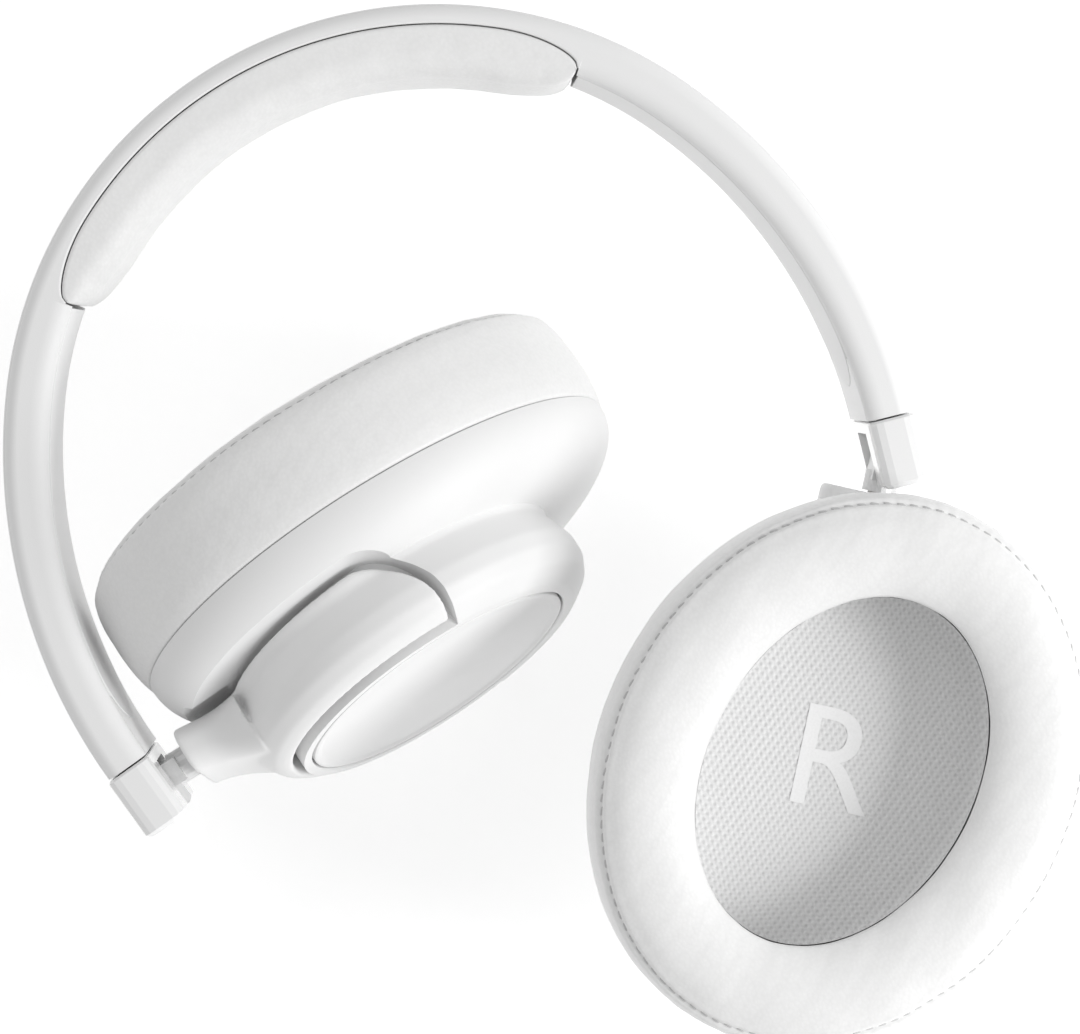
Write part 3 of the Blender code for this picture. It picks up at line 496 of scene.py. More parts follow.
for name, side in SIDES:
    angles = np.concatenate([np.linspace(COVER_START, COVER_ROUND, 90),
                             COVER_ROUND + (COVER_TIP - COVER_ROUND) * np.sin(np.linspace(0, math.pi / 2,
                                                                                          28))[1:]])
    rounding = np.sqrt(np.clip(
        1 - (np.clip(angles - COVER_ROUND, 0, None) / (COVER_TIP - COVER_ROUND)) ** 2, 1e-4, 1))
    half = COVER_HALF * rounding
    bevel = np.minimum(0.35, half * 0.5)
    low = -BAND_DEPTH / 2 - COVER_PROUD
    face = np.stack([np.linspace(-1, 1, 13)[None] * (half - bevel)[:, None],
                     np.full((len(angles), 13), low)], -1)
    rim = np.stack([half[:, None], np.full((len(angles), 1), low + 0.3)], -1)
    back = np.stack([half[:, None], np.full((len(angles), 1), low + COVER_DEPTH)], -1)
    outline = np.concatenate([face, rim, back, back * (-1, 1), rim * (-1, 1)], axis=1)
    rings = along_band((side * angles)[:, None], outline[..., 1], outline[..., 0])
    cover = surface(f"{name}_inner_cover_panel", rings, band_place, matte_shell)
    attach(cover, "headband")
    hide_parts(f"{name}_inner_cover")
    frame["nodes"][f"{name}_slider_guide"].data.materials.clear()
    frame["nodes"][f"{name}_slider_guide"].data.materials.append(matte_shell)


# ------------------------------------------------------------------ slider ends, rails and fold hinges
# A glossy white end piece caps each flank and carries a steel rail that slides in the band. A steel pin
# through its slot holds a cast knuckle, whose round shaft is the cup's swivel.

gloss_white, shader = new_look("gloss_white_end", (0.86, 0.86, 0.86), 0.1, Coat_Weight=0.5,
                               Coat_Roughness=0.04)
tint(gloss_white, shader, object_noise(gloss_white, 60.0), (0.84, 0.84, 0.84), (0.87, 0.87, 0.87))
gloss_white.node_tree.links.new(span(gloss_white, object_noise(gloss_white, 900.0, 5.0), 0.07, 0.2),
                                shader.inputs["Roughness"])
relief(gloss_white, shader, object_noise(gloss_white, 90.0, 1.0), 0.00004, 0.15)

bright_steel, shader = new_look("bright_steel", (0.66, 0.66, 0.67), 0.28, Metallic=1.0)
where = wire(bright_steel, "ShaderNodeTexCoord").outputs["Object"]
drawn = wire(bright_steel, "ShaderNodeMapping", Vector=where)
drawn.inputs["Scale"].default_value = (400.0, 5200.0, 5200.0)
lines = wire(bright_steel, "ShaderNodeTexNoise", Vector=drawn.outputs["Vector"], Scale=1.0,
             Detail=3.0).outputs[0]
bright_steel.node_tree.links.new(span(bright_steel, lines, 0.2, 0.42), shader.inputs["Roughness"])
tint(bright_steel, shader, lines, (0.58, 0.58, 0.59), (0.7, 0.7, 0.71))

cast_alloy, shader = new_look("cast_alloy", (0.72, 0.72, 0.72), 0.42, Metallic=0.55)
pits = object_noise(cast_alloy, 1800.0, 5.0)
tint(cast_alloy, shader, pits, (0.66, 0.66, 0.66), (0.78, 0.78, 0.78))
cast_alloy.node_tree.links.new(span(cast_alloy, pits, 0.34, 0.55), shader.inputs["Roughness"])
relief(cast_alloy, shader, pits, 0.00003, 0.4)


def finish_node(node_name, material, edge=0.0):
    """A kept part gets its material and, where it shows, its loose faces merged and its edges rounded."""
    kept = frame["nodes"][node_name]
    kept.data.materials.clear()
    kept.data.materials.append(material)
    if edge == 0.0:
        return
    kept.modifiers.new("merged", "WELD").merge_threshold = 0.00001
    rounding = kept.modifiers.new("rounded", "BEVEL")
    rounding.width = edge * MM
    rounding.segments = 3
    rounding.limit_method = "ANGLE"
    rounding.angle_limit = math.radians(28)
    rounding.harden_normals = True


for name, side in SIDES:
    finish_node(f"{name}_slider_end", gloss_white, 0.22)
    finish_node(f"{name}_slider_rail", bright_steel)
    finish_node(f"{name}_fold_pin", bright_steel, 0.15)
    finish_node(f"{name}_fold_knuckle", cast_alloy, 0.2)


# ------------------------------------------------------------------ yokes
# Each cup hangs in a white moulded yoke: a short stem around the swivel and two prongs that lie in a recess
# of the drum, flush with its outside, and taper to round tips beyond the tilt pins.

PAD_LONG = 48.0
PAD_SHORT = 39.9
PAD_SLANT = 17.0
WAIST_HEIGHT = -12.0
FACE_HEIGHT = -25.6
CORE_RADIUS = 27.4
DRUM_RADIUS = 33.3
YOKE_GAP = 1.4
YOKE_TOP = -9.4
YOKE_REACH = 106.0
YOKE_TIP = 20.0
YOKE_FINENESS = 0.32
NECK_TO_CUP = 56.0
NECK_LENGTH = 8.5
SHAFT_END = 15.0
BORE_RADIUS = 2.98
STEM_HALF = 10.0
STEM_ROUND = 3.4

DRUM_HEIGHTS = (-25.6, -25.1, -23.2, -20.6, -17.6, -12.0, -9.0)
DRUM_RADII = (28.0, 29.0, 31.7, 33.1, 33.2, 31.4, 32.6)


def drum_radius(heights):
    """The drum's outside at these heights: a smooth curve through face edge, widest part and waist."""
    fine = np.linspace(DRUM_HEIGHTS[0], DRUM_HEIGHTS[-1], 120)
    radii = np.interp(fine, DRUM_HEIGHTS, DRUM_RADII)
    bell = np.exp(-(np.linspace(-2.2, 2.2, 13) ** 2))
    padded = np.pad(radii, 6, mode="reflect", reflect_type="odd")
    return np.interp(heights, fine, np.convolve(padded, bell / bell.sum(), "valid"))


def yoke_ring(turns, tops, inner, bottom, clearance, outer):
    """Sections of the U about the drum: up the inside, over the top and down the drum's own outline.

    tops is the height of each section's upper edge, and outer a radius or None for the drum's surface.
    """
    shares = np.concatenate([np.linspace(0, 0.15, 6), np.linspace(0.15, 0.9, 18)[1:],
                             np.linspace(0.9, 1, 6)[1:]])
    heights = bottom + (tops[:, None] - bottom) * shares[None]
    radii = np.full_like(heights, outer) if outer else drum_radius(heights)
    if not outer:
        radii -= 0.7 * np.clip((shares - 0.93) / 0.07, 0, 1)[None] ** 2
        radii -= 0.3 * np.clip((0.03 - shares) / 0.03, 0, 1)[None] ** 2
    inside_shares = np.concatenate([np.linspace(1, 0.95, 5), np.linspace(0.95, 0.05, 8)[1:],
                                    np.linspace(0.05, 0, 5)[1:]])
    inside_heights = bottom + (tops[:, None] - bottom) * inside_shares[None]
    inside = np.full_like(inside_heights, inner)
    if not outer:
        inside += 0.45 * (np.clip(np.abs(inside_shares - 0.5) - 0.45, 0, 1) / 0.05)[None] ** 2
    heights = np.concatenate([inside_heights, heights], axis=1)
    radii = np.concatenate([inside, radii], axis=1)
    x = -DRUM_OFFSET + radii * np.cos(turns)[:, None]
    y = radii * np.sin(turns)[:, None]
    return np.stack([x, y, heights], -1)


def yoke_sections(inner, clearance, bottom, outer=None):
    """The U's sections from one prong's tip to the other's; to each tip the top falls in a quarter curve."""
    reach = YOKE_REACH + math.degrees(clearance / DRUM_RADIUS)
    angles = reach * np.sin(np.linspace(-math.pi / 2, math.pi / 2, 181))
    beyond = np.clip((np.abs(angles) - reach + YOKE_TIP) / YOKE_TIP, 0, 1)
    fall = (YOKE_TOP - FACE_HEIGHT - 1.5) * 0.92 * (1 - np.sqrt(1 - beyond ** 1.8))
    return yoke_ring(np.radians(180 + angles), YOKE_TOP + clearance - fall, inner, bottom, clearance, outer)


def round_box(half, low, high, corner, steps=10):
    """A rounded rectangle of (width, height) points, its corners quarter circles."""
    corner = min(corner, 0.98 * half, 0.49 * (high - low))
    turn = np.linspace(0, math.pi / 2, steps)
    quarter = np.stack([half - corner + corner * np.sin(turn), high - corner + corner * np.cos(turn)], -1)
    lower = np.stack([half - corner + corner * np.cos(turn), low + corner - corner * np.sin(turn)], -1)
    right = np.vstack([quarter, lower])
    return np.vstack([right, (right * (-1, 1))[::-1]])


def join_into(target, *others):
    """The others' meshes become part of the target's, and the others go."""
    with bpy.context.temp_override(active_object=target, selected_editable_objects=[target, *others]):
        bpy.ops.object.join()


for name, side in SIDES:
    prongs = yoke_sections(CORE_RADIUS + YOKE_GAP - 0.1, 0.0, FACE_HEIGHT + 1.0)
    yoke = surface(f"{name}_yoke_arm", prongs, cup_places[name], matte_shell)
    wall = NECK_TO_CUP - DRUM_OFFSET - CORE_RADIUS - YOKE_GAP
    start = NECK_LENGTH + 0.3
    shares = np.concatenate([(0.0, 0.008, 0.025, 0.05), np.linspace(0.08, 1.0, 40)])
    shrinks = np.concatenate([(0.6, 0.3, 0.08, 0.0), np.zeros(40)])
    bore = np.linspace(0, 2 * math.pi, 40, endpoint=False)
    stem = [np.stack([np.full(40, x), BORE_RADIUS * np.sin(bore), BORE_RADIUS * np.cos(bore)], -1)
            for x in (SHAFT_END + 1.0, start + 0.2)]
    for share, shrink in zip(shares, shrinks):
        half = STEM_HALF * (1 + 1.1 * max(0.0, share - 0.3) ** 2) - shrink
        section = round_box(half, -4.2 - 5.0 * share ** 1.5 + shrink, 4.2 - 1.4 * share - shrink,
                            STEM_ROUND)
        stem.append(np.column_stack([np.full(40, start + (wall - 1.2 - start) * share), section]))
    neck = surface(f"{name}_yoke_stem", np.array(stem), neck_places[name], matte_shell)
    join_into(yoke, neck)
    remesh = yoke.modifiers.new("one_moulding", "REMESH")
    remesh.mode = "VOXEL"
    remesh.voxel_size = YOKE_FINENESS * MM
    remesh.use_smooth_shade = True
    eased = yoke.modifiers.new("eased_edges", "SMOOTH")
    eased.factor = 0.5
    eased.iterations = 9
    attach(yoke, f"{name}_yoke")
    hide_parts(f"{name}_yoke")


# ------------------------------------------------------------------ cup housings and caps
# A moulded bowl narrows from the pad to a waist and flares into the drum, which a round cap closes.
# The drum is cut back for the yoke and its stem. The right cup's buttons and socket have no holes here.

RIM_INSET = 1.3
RIM_HEIGHT = -0.12
WAIST_RADIUS = 31.4
CUP_WALL = 2.0
CAP_RADIUS = 25.4
SHELF = -4.1
CAVITY_ROOF = -6.0
ROUND_STEPS = 288


def oval(long_half, short_half, heights, slant=0.0, shift=0.0, steps=ROUND_STEPS):
    """Ellipses at even polar angles about a centre shifted along X: r = 1 / hypot(cos / a, sin / b)."""
    turn = np.linspace(0, 2 * math.pi, steps, endpoint=False)[None]
    long_half, short_half, heights, shift = (np.atleast_1d(v).astype(float)[:, None]
                                             for v in (long_half, short_half, heights, shift))
    radius = 1 / np.hypot(np.cos(turn - slant) / long_half, np.sin(turn - slant) / short_half)
    return np.stack([shift + radius * np.cos(turn), radius * np.sin(turn), heights + 0.0 * radius], -1)


def bowl(heights, slant):
    """The housing's outside from the pad's seam to the waist: drawn in slowly at first and then fast."""
    share = np.clip((heights - RIM_HEIGHT) / (WAIST_HEIGHT + 1.0 - RIM_HEIGHT), 0, 1)
    drawn = (1 - np.sqrt(np.clip(1 - share ** 2.6, 0, 1))) ** 0.8
    long_half = PAD_LONG - RIM_INSET + (WAIST_RADIUS + 0.3 - PAD_LONG + RIM_INSET) * drawn
    short_half = PAD_SHORT - RIM_INSET + (WAIST_RADIUS + 0.3 - PAD_SHORT + RIM_INSET) * drawn
    return oval(long_half, short_half, heights, slant, -DRUM_OFFSET * drawn)


def cutter(name, rings, place):
    """A hidden solid that a Boolean takes away."""
    made = surface(name, rings, place, matte_shell)
    made.hide_render = True
    made.hide_set(True)
    return made


def cut(target, tool):
    """Takes the tool's shape out of the target at once and removes the tool."""
    change = target.modifiers.new(tool.name, "BOOLEAN")
    change.operation = "DIFFERENCE"
    change.object = tool
    graph = bpy.context.evaluated_depsgraph_get()
    target.data = bpy.data.meshes.new_from_object(target.evaluated_get(graph))
    target.modifiers.clear()
    bpy.data.objects.remove(tool)


for name, side in SIDES:
    slant = math.radians(-side * PAD_SLANT)
    place = cup_places[name]
    steep = RIM_HEIGHT + (WAIST_HEIGHT + 1.0 - RIM_HEIGHT) * np.sin(np.linspace(0, math.pi / 2, 34))
    outer = bowl(steep, slant)
    heights = np.concatenate([np.linspace(WAIST_HEIGHT + 0.5, FACE_HEIGHT + 2.6, 26),
                              np.linspace(FACE_HEIGHT + 2.2, FACE_HEIGHT, 10)])
    drum = oval(drum_radius(heights), drum_radius(heights), heights, 0.0, -DRUM_OFFSET)
    recess = CAP_RADIUS + 0.3
    mouth = oval((CORE_RADIUS, recess + 0.25, recess, recess, recess),
                 (CORE_RADIUS, recess + 0.25, recess, recess, recess),
                 (FACE_HEIGHT, FACE_HEIGHT, FACE_HEIGHT + 0.25, FACE_HEIGHT + 1.2, FACE_HEIGHT + 2.1), 0.0,
                 -DRUM_OFFSET)
    hollow = oval((CAP_RADIUS, CAP_RADIUS), (CAP_RADIUS, CAP_RADIUS), (FACE_HEIGHT + 4.1, CAVITY_ROOF), 0.0,
                  -DRUM_OFFSET)
    long_rim, short_rim = PAD_LONG - RIM_INSET - CUP_WALL, PAD_SHORT - RIM_INSET - CUP_WALL
    shelf = oval((long_rim - 1.6, long_rim - 1.6, long_rim, long_rim),
                 (short_rim - 1.6, short_rim - 1.6, short_rim, short_rim),
                 (CAVITY_ROOF, SHELF, SHELF, RIM_HEIGHT), slant)
    rings = np.concatenate([hollow, shelf, outer, drum, mouth])
    housing = surface(f"{name}_housing_shell", rings, place, matte_shell)
    reach = yoke_sections(CORE_RADIUS, YOKE_GAP, FACE_HEIGHT - 3.0, outer=DRUM_RADIUS + 18.0)
    cut(housing, cutter("yoke_recess", reach, place))
    low, high = FACE_HEIGHT - 3.0, YOKE_TOP + 2.5
    corners = np.array([(-12.2, low), (12.2, low), (12.2, high), (-12.2, high)])
    relief_box = np.array([[(x, y, z) for y, z in corners] for x in (-58.0, -34.3)])
    cut(housing, cutter("stem_relief", relief_box, place))
    housing.data.set_sharp_from_angle(angle=math.radians(40))
    radii = np.array((0.01, 8.0, 16.0, 21.0, 23.4, 23.9, 24.3, 24.8, 25.15, 25.3, 25.3))
    heights = FACE_HEIGHT + np.array((0.32, 0.33, 0.36, 0.4, 0.42, 0.32, 0.05, 0.0, 0.1, 0.4, 1.8))
    cap = surface(f"{name}_cap_disc", oval(radii, radii, heights, 0.0, -DRUM_OFFSET, 192), place,
                  matte_shell)
    for piece, node_name in ((housing, f"{name}_cup_housing"), (cap, f"{name}_cup_cap")):
        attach(piece, f"{name}_cup")
        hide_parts(node_name)


# ------------------------------------------------------------------ ear pads
# Memory-foam rings in white leatherette. The front panel meets the side wall in a stitched seam at the outer
# edge, and at the opening it is sewn over a fine cord to the knit lining. Cloth simulation fills them.

OPENING_LONG = 30.7
OPENING_SHORT = 22.3
PAD_STEPS = 480
STITCH_PITCH = 2.2
PROFILE = ((0.925, 0.15), (0.945, 1.0), (0.975, 3.0), (1.0, 7.0), (1.0, 11.0), (0.99, 14.5), (0.955, 16.9),
           (0.86, 18.8),
           (0.7, 20.1), (0.5, 20.5), (0.3, 20.15), (0.12, 19.1), (0.0, 17.6), (0.01, 16.6), (0.035, 14.0),
           (0.12, 8.0),
           (0.18, 1.5), (0.17, 0.15))
OUTER_SEAM = 0.3476
RIM_SEAM = 0.7503
PROFILE_LENGTH = 53.5
PAD_BREADTH = 17.4  # from the opening to the outer edge


def smooth_path(points, samples):
    """A Catmull-Rom curve through the points, read at shares of its length from 0 to 1."""
    points = np.asarray(points, float)
    ends = np.vstack([2 * points[0] - points[1], points, 2 * points[-1] - points[-2]])
    t = np.linspace(0, 1, 24, endpoint=False)[:, None]
    spans = []
    for a, b, c, d in zip(ends, ends[1:], ends[2:], ends[3:]):
        spans.append(0.5
                     * (2 * b + (c - a) * t + (2 * a - 5 * b + 4 * c - d) * t ** 2
                        + (3 * b - a - 3 * c + d) * t ** 3))
    path = np.vstack([*spans, points[-1:]])
    scale = np.array((PAD_BREADTH,) + (1.0,) * (path.shape[1] - 1))
    length = np.concatenate([[0], np.cumsum(np.linalg.norm(np.diff(path * scale, axis=0), axis=1))])
    return np.stack([np.interp(samples, length / length[-1], path[:, k]) for k in range(path.shape[1])], -1)


def pad_rings(profile, slant, steps=PAD_STEPS):
    """Rings of the pad: share 0 lies on the opening's oval and share 1 on the pad's outer oval."""
    share, heights = profile[:, 0], profile[:, 1]
    long_half = OPENING_LONG + (PAD_LONG - OPENING_LONG) * share
    short_half = OPENING_SHORT + (PAD_SHORT - OPENING_SHORT) * share
    return oval(long_half, short_half, heights, slant, 0.0, steps)


def stitches(name, path, outward, length, radius, material):
    """A row of thread stitches: one small round-ended capsule for each pitch along a closed path."""
    ahead = np.roll(path, -1, 0)
    steps = np.linalg.norm(ahead - path, axis=1)
    travelled = np.concatenate([[0], np.cumsum(steps)])
    count = round(travelled[-1] / STITCH_PITCH)
    spots = (np.arange(count) + 0.5) * travelled[-1] / count
    closed_path, closed_out = np.vstack([path, path[:1]]), np.vstack([outward, outward[:1]])
    centre = np.stack([np.interp(spots, travelled, closed_path[:, k]) for k in range(3)], -1)
    up = np.stack([np.interp(spots, travelled, closed_out[:, k]) for k in range(3)], -1)
    later = np.stack([np.interp(spots + 0.2, travelled, closed_path[:, k]) for k in range(3)], -1)
    along = (later - centre) / np.linalg.norm(later - centre, axis=1, keepdims=True)
    up = up / np.linalg.norm(up, axis=1, keepdims=True)
    aside = np.cross(along, up)
    along = along + aside * 0.16
    stations = np.array((-1.0, -0.93, -0.7, -0.3, 0.3, 0.7, 0.93, 1.0))
    sizes = np.array((0.05, 0.6, 0.95, 1.0, 1.0, 0.95, 0.6, 0.05))
    sag = -0.35 * radius * stations ** 4
    turn = np.linspace(0, 2 * math.pi, 6, endpoint=False)
    ring = (centre[:, None, None] + along[:, None, None] * (stations * length / 2)[None, :, None, None]
            + up[:, None, None] * ((radius * sizes)[:, None] * np.cos(turn) + sag[:, None])[None, ..., None]
            + aside[:, None, None] * ((radius * sizes)[:, None] * np.sin(turn))[None, ..., None])
    points = ring.reshape(-1, 3)
    rows, around = len(stations), len(turn)
    row = np.arange(rows - 1)[:, None] * around
    step, after = np.arange(around), (np.arange(around) + 1) % around
    one = np.stack([row + step, row + after, row + around + after, row + around + step], -1).reshape(-1, 4)
    faces = (np.arange(count)[:, None, None] * rows * around + one[None]).reshape(-1, 4)
    lids = [[base + k for k in range(around)][::-1] for base in range(0, count * rows * around,
                                                                      rows * around)]
    lids += [[base + (rows - 1) * around + k for k in range(around)] for base in range(0,
                                                                                       count
                                                                                       * rows * around,
                                                                                       rows * around)]
    mesh = bpy.data.meshes.new(name)
    mesh.from_pydata(points.tolist(), [], faces.tolist() + lids)
    mesh.update()
    mesh.shade_smooth()
    mesh.materials.append(material)
    piece = bpy.data.objects.new(name, mesh)
    bpy.context.collection.objects.link(piece)
    return piece


thread, shader = new_look("white_thread", (0.9, 0.9, 0.9), 0.6, Sheen_Weight=0.3)
fibres = object_noise(thread, 5200.0, 3.0)
tint(thread, shader, fibres, (0.84, 0.84, 0.84), (0.93, 0.93, 0.93))
relief(thread, shader, fibres, 0.00005, 0.5)

# Painted shade: the outer seam's thread is a grey copy of the white thread, darkened for the shade that falls in
# the sunk seam where it lies.
thread_painted_shade, shader = new_look("thread_painted_shade", (0.6, 0.6, 0.6), 0.7)
tint(thread_painted_shade, shader, object_noise(thread_painted_shade, 5200.0, 3.0), (0.5, 0.5, 0.5), (0.66, 0.66, 0.66))

even = np.linspace(0, 1, 88)
near = np.linspace(-0.022, 0.022, 17)
samples = np.unique(np.round(np.concatenate([even, OUTER_SEAM + near, RIM_SEAM + near]), 5))
profile = smooth_path(PROFILE, samples)
for name, side in SIDES:
    slant = math.radians(-side * PAD_SLANT)
    place = cup_places[name]
    rings = pad_rings(profile, slant)
    plain = rings
    rings = puffed(plain, True, lambda spots: spots[:, 2] < 1.5)
    free = np.clip((samples - 0.03) / 0.06, 0, 1) * np.clip((RIM_SEAM - 0.02 - samples) / 0.1, 0, 1)
    rings = plain + (rings - plain) * (0.45 * free)[:, None, None]
    outward = ring_normals(rings, looped=True)
    middle = pad_rings(np.array([(0.4, 10.0)]), slant)
    outward *= np.sign((outward * (rings - middle)).sum())
    turn = np.linspace(0, 2 * math.pi, PAD_STEPS, endpoint=False)
    lift = np.zeros(rings.shape[:2])
    for seam, depth, girth, wave in ((OUTER_SEAM, 0.3, 277.0, 0.05), (RIM_SEAM, 0.42, 168.0, 0.05)):
        away = (samples - seam)[:, None] * PROFILE_LENGTH
        count = round(girth / STITCH_PITCH)
        lift -= depth * np.exp(-(away / 0.42) ** 2)
        lift += 0.16 * np.exp(-((np.abs(away) - 1.1) / 0.6) ** 2)
        lift += wave * np.cos(count * turn)[None] * np.exp(-(np.abs(away) / 1.3) ** 1.5)
    uneven = soft_noise(11 + side, plain, (8.0, 11.0, 15.0, 21.0, 27.0),
                        0.07) + soft_noise(17 + side, plain, (2.4, 3.1, 4.4), 0.018)
    lift += uneven * np.clip(samples / 0.06, 0, 1)[:, None] * np.clip((RIM_SEAM - samples) / 0.08, 0.1,
                                                                      1)[:, None]
    rings = rings + outward * lift[..., None]
    pad = surface(f"{name}_ear_cushion", rings, place, leatherette, looped=True, sharp=70.0)
    outer_row, rim_row = np.abs(samples - OUTER_SEAM).argmin(), np.abs(samples - RIM_SEAM).argmin()
    rows = []
    # The outer row takes the grey thread with its painted shade, and the rim row takes the white thread.
    for title, row, length, radius, rise, finish in (("outer", outer_row, 1.5, 0.2, 0.03, thread_painted_shade),
                                                     ("rim", rim_row, 1.9, 0.34, 0.2, thread)):
        path = in_room(rings[row] + outward[row] * rise, place) / MM
        up = outward[row] @ place[:3, :3].T
        row_piece = stitches(f"{name}_{title}_stitches", path, up, length, radius, finish)
        row_piece.data.transform(Matrix.Scale(MM, 4))
        rows.append(row_piece)
    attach(pad, f"{name}_cup")
    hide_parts(f"{name}_ear_pad")
    for row_piece in rows:
        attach(row_piece, f"{name}_cup")


# ------------------------------------------------------------------ knit linings and side marks
# A ribbed knit is stretched over each driver and up the inside of the pad to the opening's seam. A plain
# printed L or R on it tells the sides apart.

KNIT_COLUMNS = 1.15
KNIT_ROWS = 0.95
KNIT_TURN = math.radians(64.0)
KNIT_HEIGHT = 0.07
LINING_PATH = ((0.0, 2.3, 2.0), (0.5, 2.3, 1.9), (0.85, 2.3, 1.5), (0.97, 2.3, 1.7), (1.0, 2.35, 3.0),
               (1.0, 1.9, 6.4),
               (1.0, 1.1, 10.2), (1.0, 0.25, 14.4), (1.0, -0.15, 17.0))
MARK_SIZE = 25.0
OPENING_MEAN = (OPENING_LONG + OPENING_SHORT) / 2

knit, shader = new_look("ribbed_knit", (0.8, 0.8, 0.8), 0.85, Sheen_Weight=0.25, Sheen_Roughness=0.5,
                        Specular_IOR_Level=0.25)
chart = wire(knit, "ShaderNodeUVMap", uv_map="chart").outputs["UV"]
parts = wire(knit, "ShaderNodeSeparateXYZ", Vector=chart)
column = wire(knit, "ShaderNodeMath", operation="MULTIPLY", I0=parts.outputs["X"],
              I1=2 * math.pi * 1000 / KNIT_COLUMNS)
row = wire(knit, "ShaderNodeMath", operation="MULTIPLY", I0=parts.outputs["Y"],
           I1=2 * math.pi * 1000 / KNIT_ROWS)
ribs = wire(knit, "ShaderNodeMath", operation="SINE", I0=column.outputs["Value"])
loops = wire(knit, "ShaderNodeMath", operation="SINE", I0=row.outputs["Value"])
mesh_holes = wire(knit, "ShaderNodeMath", operation="MULTIPLY", I0=ribs.outputs["Value"],
                  I1=loops.outputs["Value"])
raised = wire(knit, "ShaderNodeMath", operation="MULTIPLY_ADD", I0=ribs.outputs["Value"], I1=0.25, I2=0.5)
height = wire(knit, "ShaderNodeMath", operation="MULTIPLY_ADD", I0=mesh_holes.outputs["Value"], I1=0.3,
              I2=raised.outputs["Value"])
fuzz = wire(knit, "ShaderNodeMath", operation="MULTIPLY_ADD", I0=object_noise(knit, 3600.0, 3.0), I1=0.5,
            I2=height.outputs["Value"])
relief(knit, shader, fuzz.outputs["Value"], 0.00016, 0.8)
tint(knit, shader, fuzz.outputs["Value"], (0.62, 0.62, 0.62), (0.86, 0.86, 0.86))

print_white, shader = new_look("print_white", (0.93, 0.93, 0.93), 0.6)
tint(print_white, shader, object_noise(print_white, 2600.0, 2.0), (0.86, 0.86, 0.86), (0.97, 0.97, 0.97))

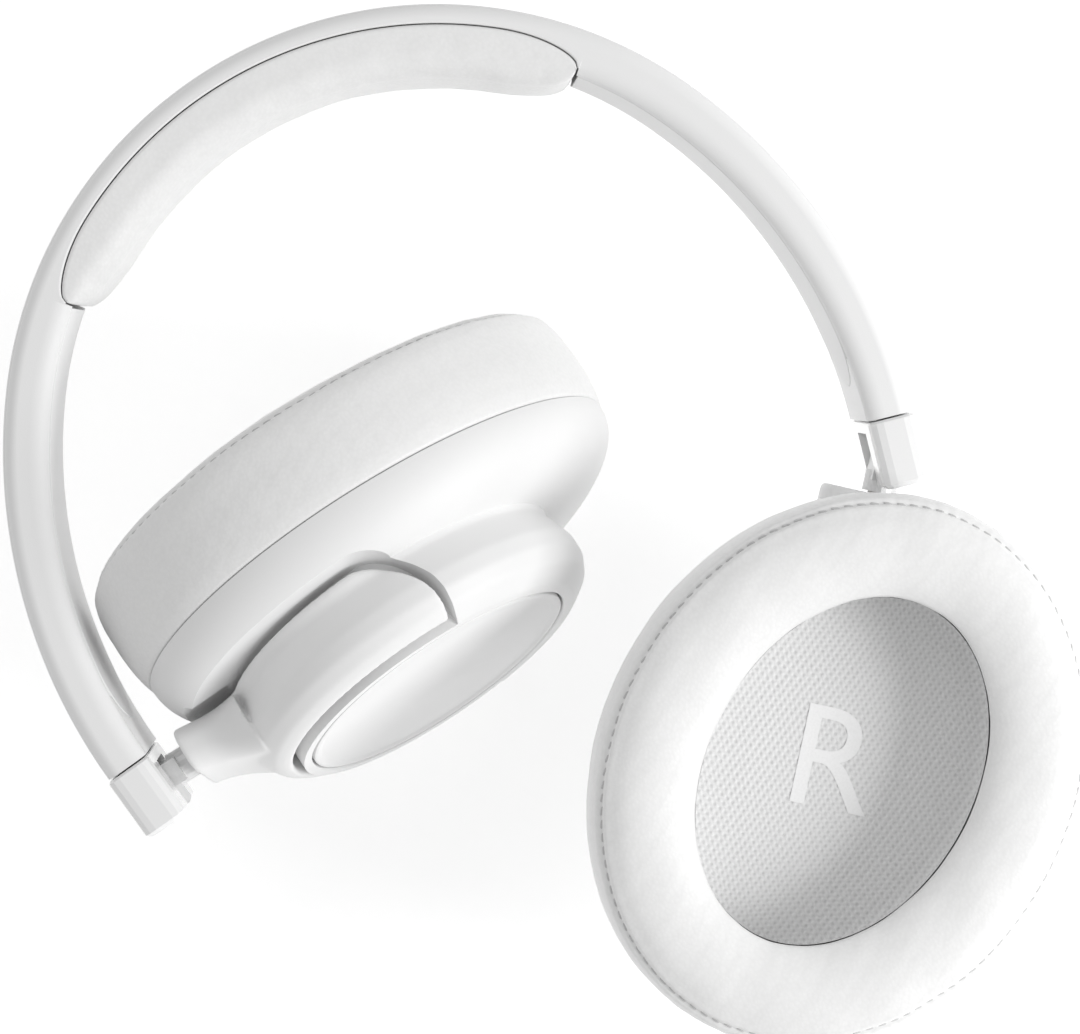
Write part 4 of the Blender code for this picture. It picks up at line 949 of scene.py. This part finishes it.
for name, side in SIDES:
    slant = math.radians(-side * PAD_SLANT)
    place = cup_places[name]
    u, v = np.meshgrid(np.linspace(-1, 1, 221), np.linspace(-1, 1, 161), indexing="ij")
    flat_x, flat_y = u * np.sqrt(1 - v ** 2 / 2), v * np.sqrt(1 - u ** 2 / 2)
    reach = np.clip(np.hypot(flat_x, flat_y), 0, 1)
    bearing = np.arctan2(flat_y * OPENING_SHORT, flat_x * OPENING_LONG)
    path = smooth_path(LINING_PATH, np.linspace(0, 1, 200))
    run = path[:, 0] * (OPENING_MEAN + path[:, 1])
    length = np.concatenate([[0], np.cumsum(np.hypot(np.diff(run), np.diff(path[:, 2])))])
    share, spare, heights = (np.interp(reach, length / length[-1], path[:, k]) for k in range(3))
    radius = share / np.hypot(np.cos(bearing) / (OPENING_LONG + spare),
                              np.sin(bearing) / (OPENING_SHORT + spare))
    x, y = radius * np.cos(bearing), radius * np.sin(bearing)
    rib_x = flat_x * (OPENING_LONG + 15.0)
    rib_y = flat_y * (OPENING_SHORT + 15.0)
    turned = KNIT_TURN * side - slant
    chart_x = rib_x * math.cos(turned) + rib_y * math.sin(turned)
    chart_y = -rib_x * math.sin(turned) + rib_y * math.cos(turned)
    wave = np.sin(2 * math.pi * chart_x / KNIT_COLUMNS)
    heights = heights + KNIT_HEIGHT * wave * np.clip((0.5 - reach) / 0.08, 0, 1)
    rings = np.stack([x * math.cos(slant) - y * math.sin(slant), x * math.sin(slant) + y * math.cos(slant),
                      heights], -1)
    lining = surface(f"{name}_knit_lining", rings[:, ::-1], place, knit, closed=False,
                     marks=np.stack([chart_x, chart_y], -1)[:, ::-1] * MM)
    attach(lining, f"{name}_cup")
    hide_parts(f"{name}_ear_scrim")

    letter = bpy.data.curves.new(f"{name}_side_mark", "FONT")
    letter.body = name[0].upper()
    letter.size = MARK_SIZE
    letter.align_x = "CENTER"
    letter.align_y = "CENTER"
    letter.extrude = 0.04
    draft = bpy.data.objects.new("draft", letter)
    bpy.context.collection.objects.link(draft)
    graph = bpy.context.evaluated_depsgraph_get()
    mark_mesh = bpy.data.meshes.new_from_object(draft.evaluated_get(graph))
    bpy.data.objects.remove(draft)
    upright = Matrix.Translation((0, 0, 2.06)) @ Matrix.Rotation(math.pi / 2, 4, "Z")
    mark_mesh.transform(Matrix.Scale(MM, 4) @ Matrix(place.tolist()) @ upright)
    mark_mesh.materials.clear()
    mark_mesh.materials.append(print_white)
    mark = bpy.data.objects.new(f"{name}_side_mark", mark_mesh)
    bpy.context.collection.objects.link(mark)
    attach(mark, f"{name}_cup")


# ------------------------------------------------------------------ buttons, socket and the parts inside
# Three round buttons and a charging socket sit in the right cup's edge. Drivers, plates, pins, bushes, the
# spring strip, the battery and the circuit board are inside and keep their machined shapes.

def plain_look(name, dark, light, roughness, scale, metallic=0.0):
    """A simple moulded or metal finish: its tone and gloss vary with noise at the given scale."""
    made, made_shader = new_look(name, light, roughness, Metallic=metallic)
    speckle = object_noise(made, scale, 3.0)
    tint(made, made_shader, speckle, dark, light)
    made.node_tree.links.new(span(made, speckle, roughness - 0.06, roughness + 0.08),
                             made_shader.inputs["Roughness"])
    relief(made, made_shader, speckle, 0.00002, 0.3)
    return made


black_plastic = plain_look("black_plastic", (0.035, 0.035, 0.035), (0.055, 0.055, 0.055), 0.5, 1400.0)
brass = plain_look("bush_brass", (0.66, 0.5, 0.22), (0.76, 0.6, 0.28), 0.34, 1600.0, 1.0)
film = plain_look("diaphragm_film", (0.13, 0.13, 0.14), (0.19, 0.19, 0.2), 0.36, 900.0)
battery_wrap = plain_look("battery_wrap", (0.17, 0.19, 0.23), (0.24, 0.26, 0.3), 0.5, 700.0)
board_green = plain_look("board_green", (0.02, 0.14, 0.06), (0.04, 0.2, 0.1), 0.45, 1100.0)
INSIDE = {
    "slider_guide": matte_shell, "tilt_pin_front": bright_steel, "tilt_pin_rear": bright_steel,
    "swivel_bush": brass,
    "baffle": black_plastic, "pad_plate": black_plastic, "driver_frame": black_plastic,
    "driver_magnet": bright_steel,
    "driver_diaphragm": film,
}
for name, _ in SIDES:
    for part, material in INSIDE.items():
        finish_node(f"{name}_{part}", material)
for node_name, material in (("spring_strip", bright_steel), ("battery", battery_wrap),
                            ("circuit_board", board_green)):
    finish_node(node_name, material)
finish_node("charging_socket", bright_steel, 0.12)
for node_name in ("power_button", "volume_up_button", "volume_down_button"):
    finish_node(node_name, matte_shell, 0.15)
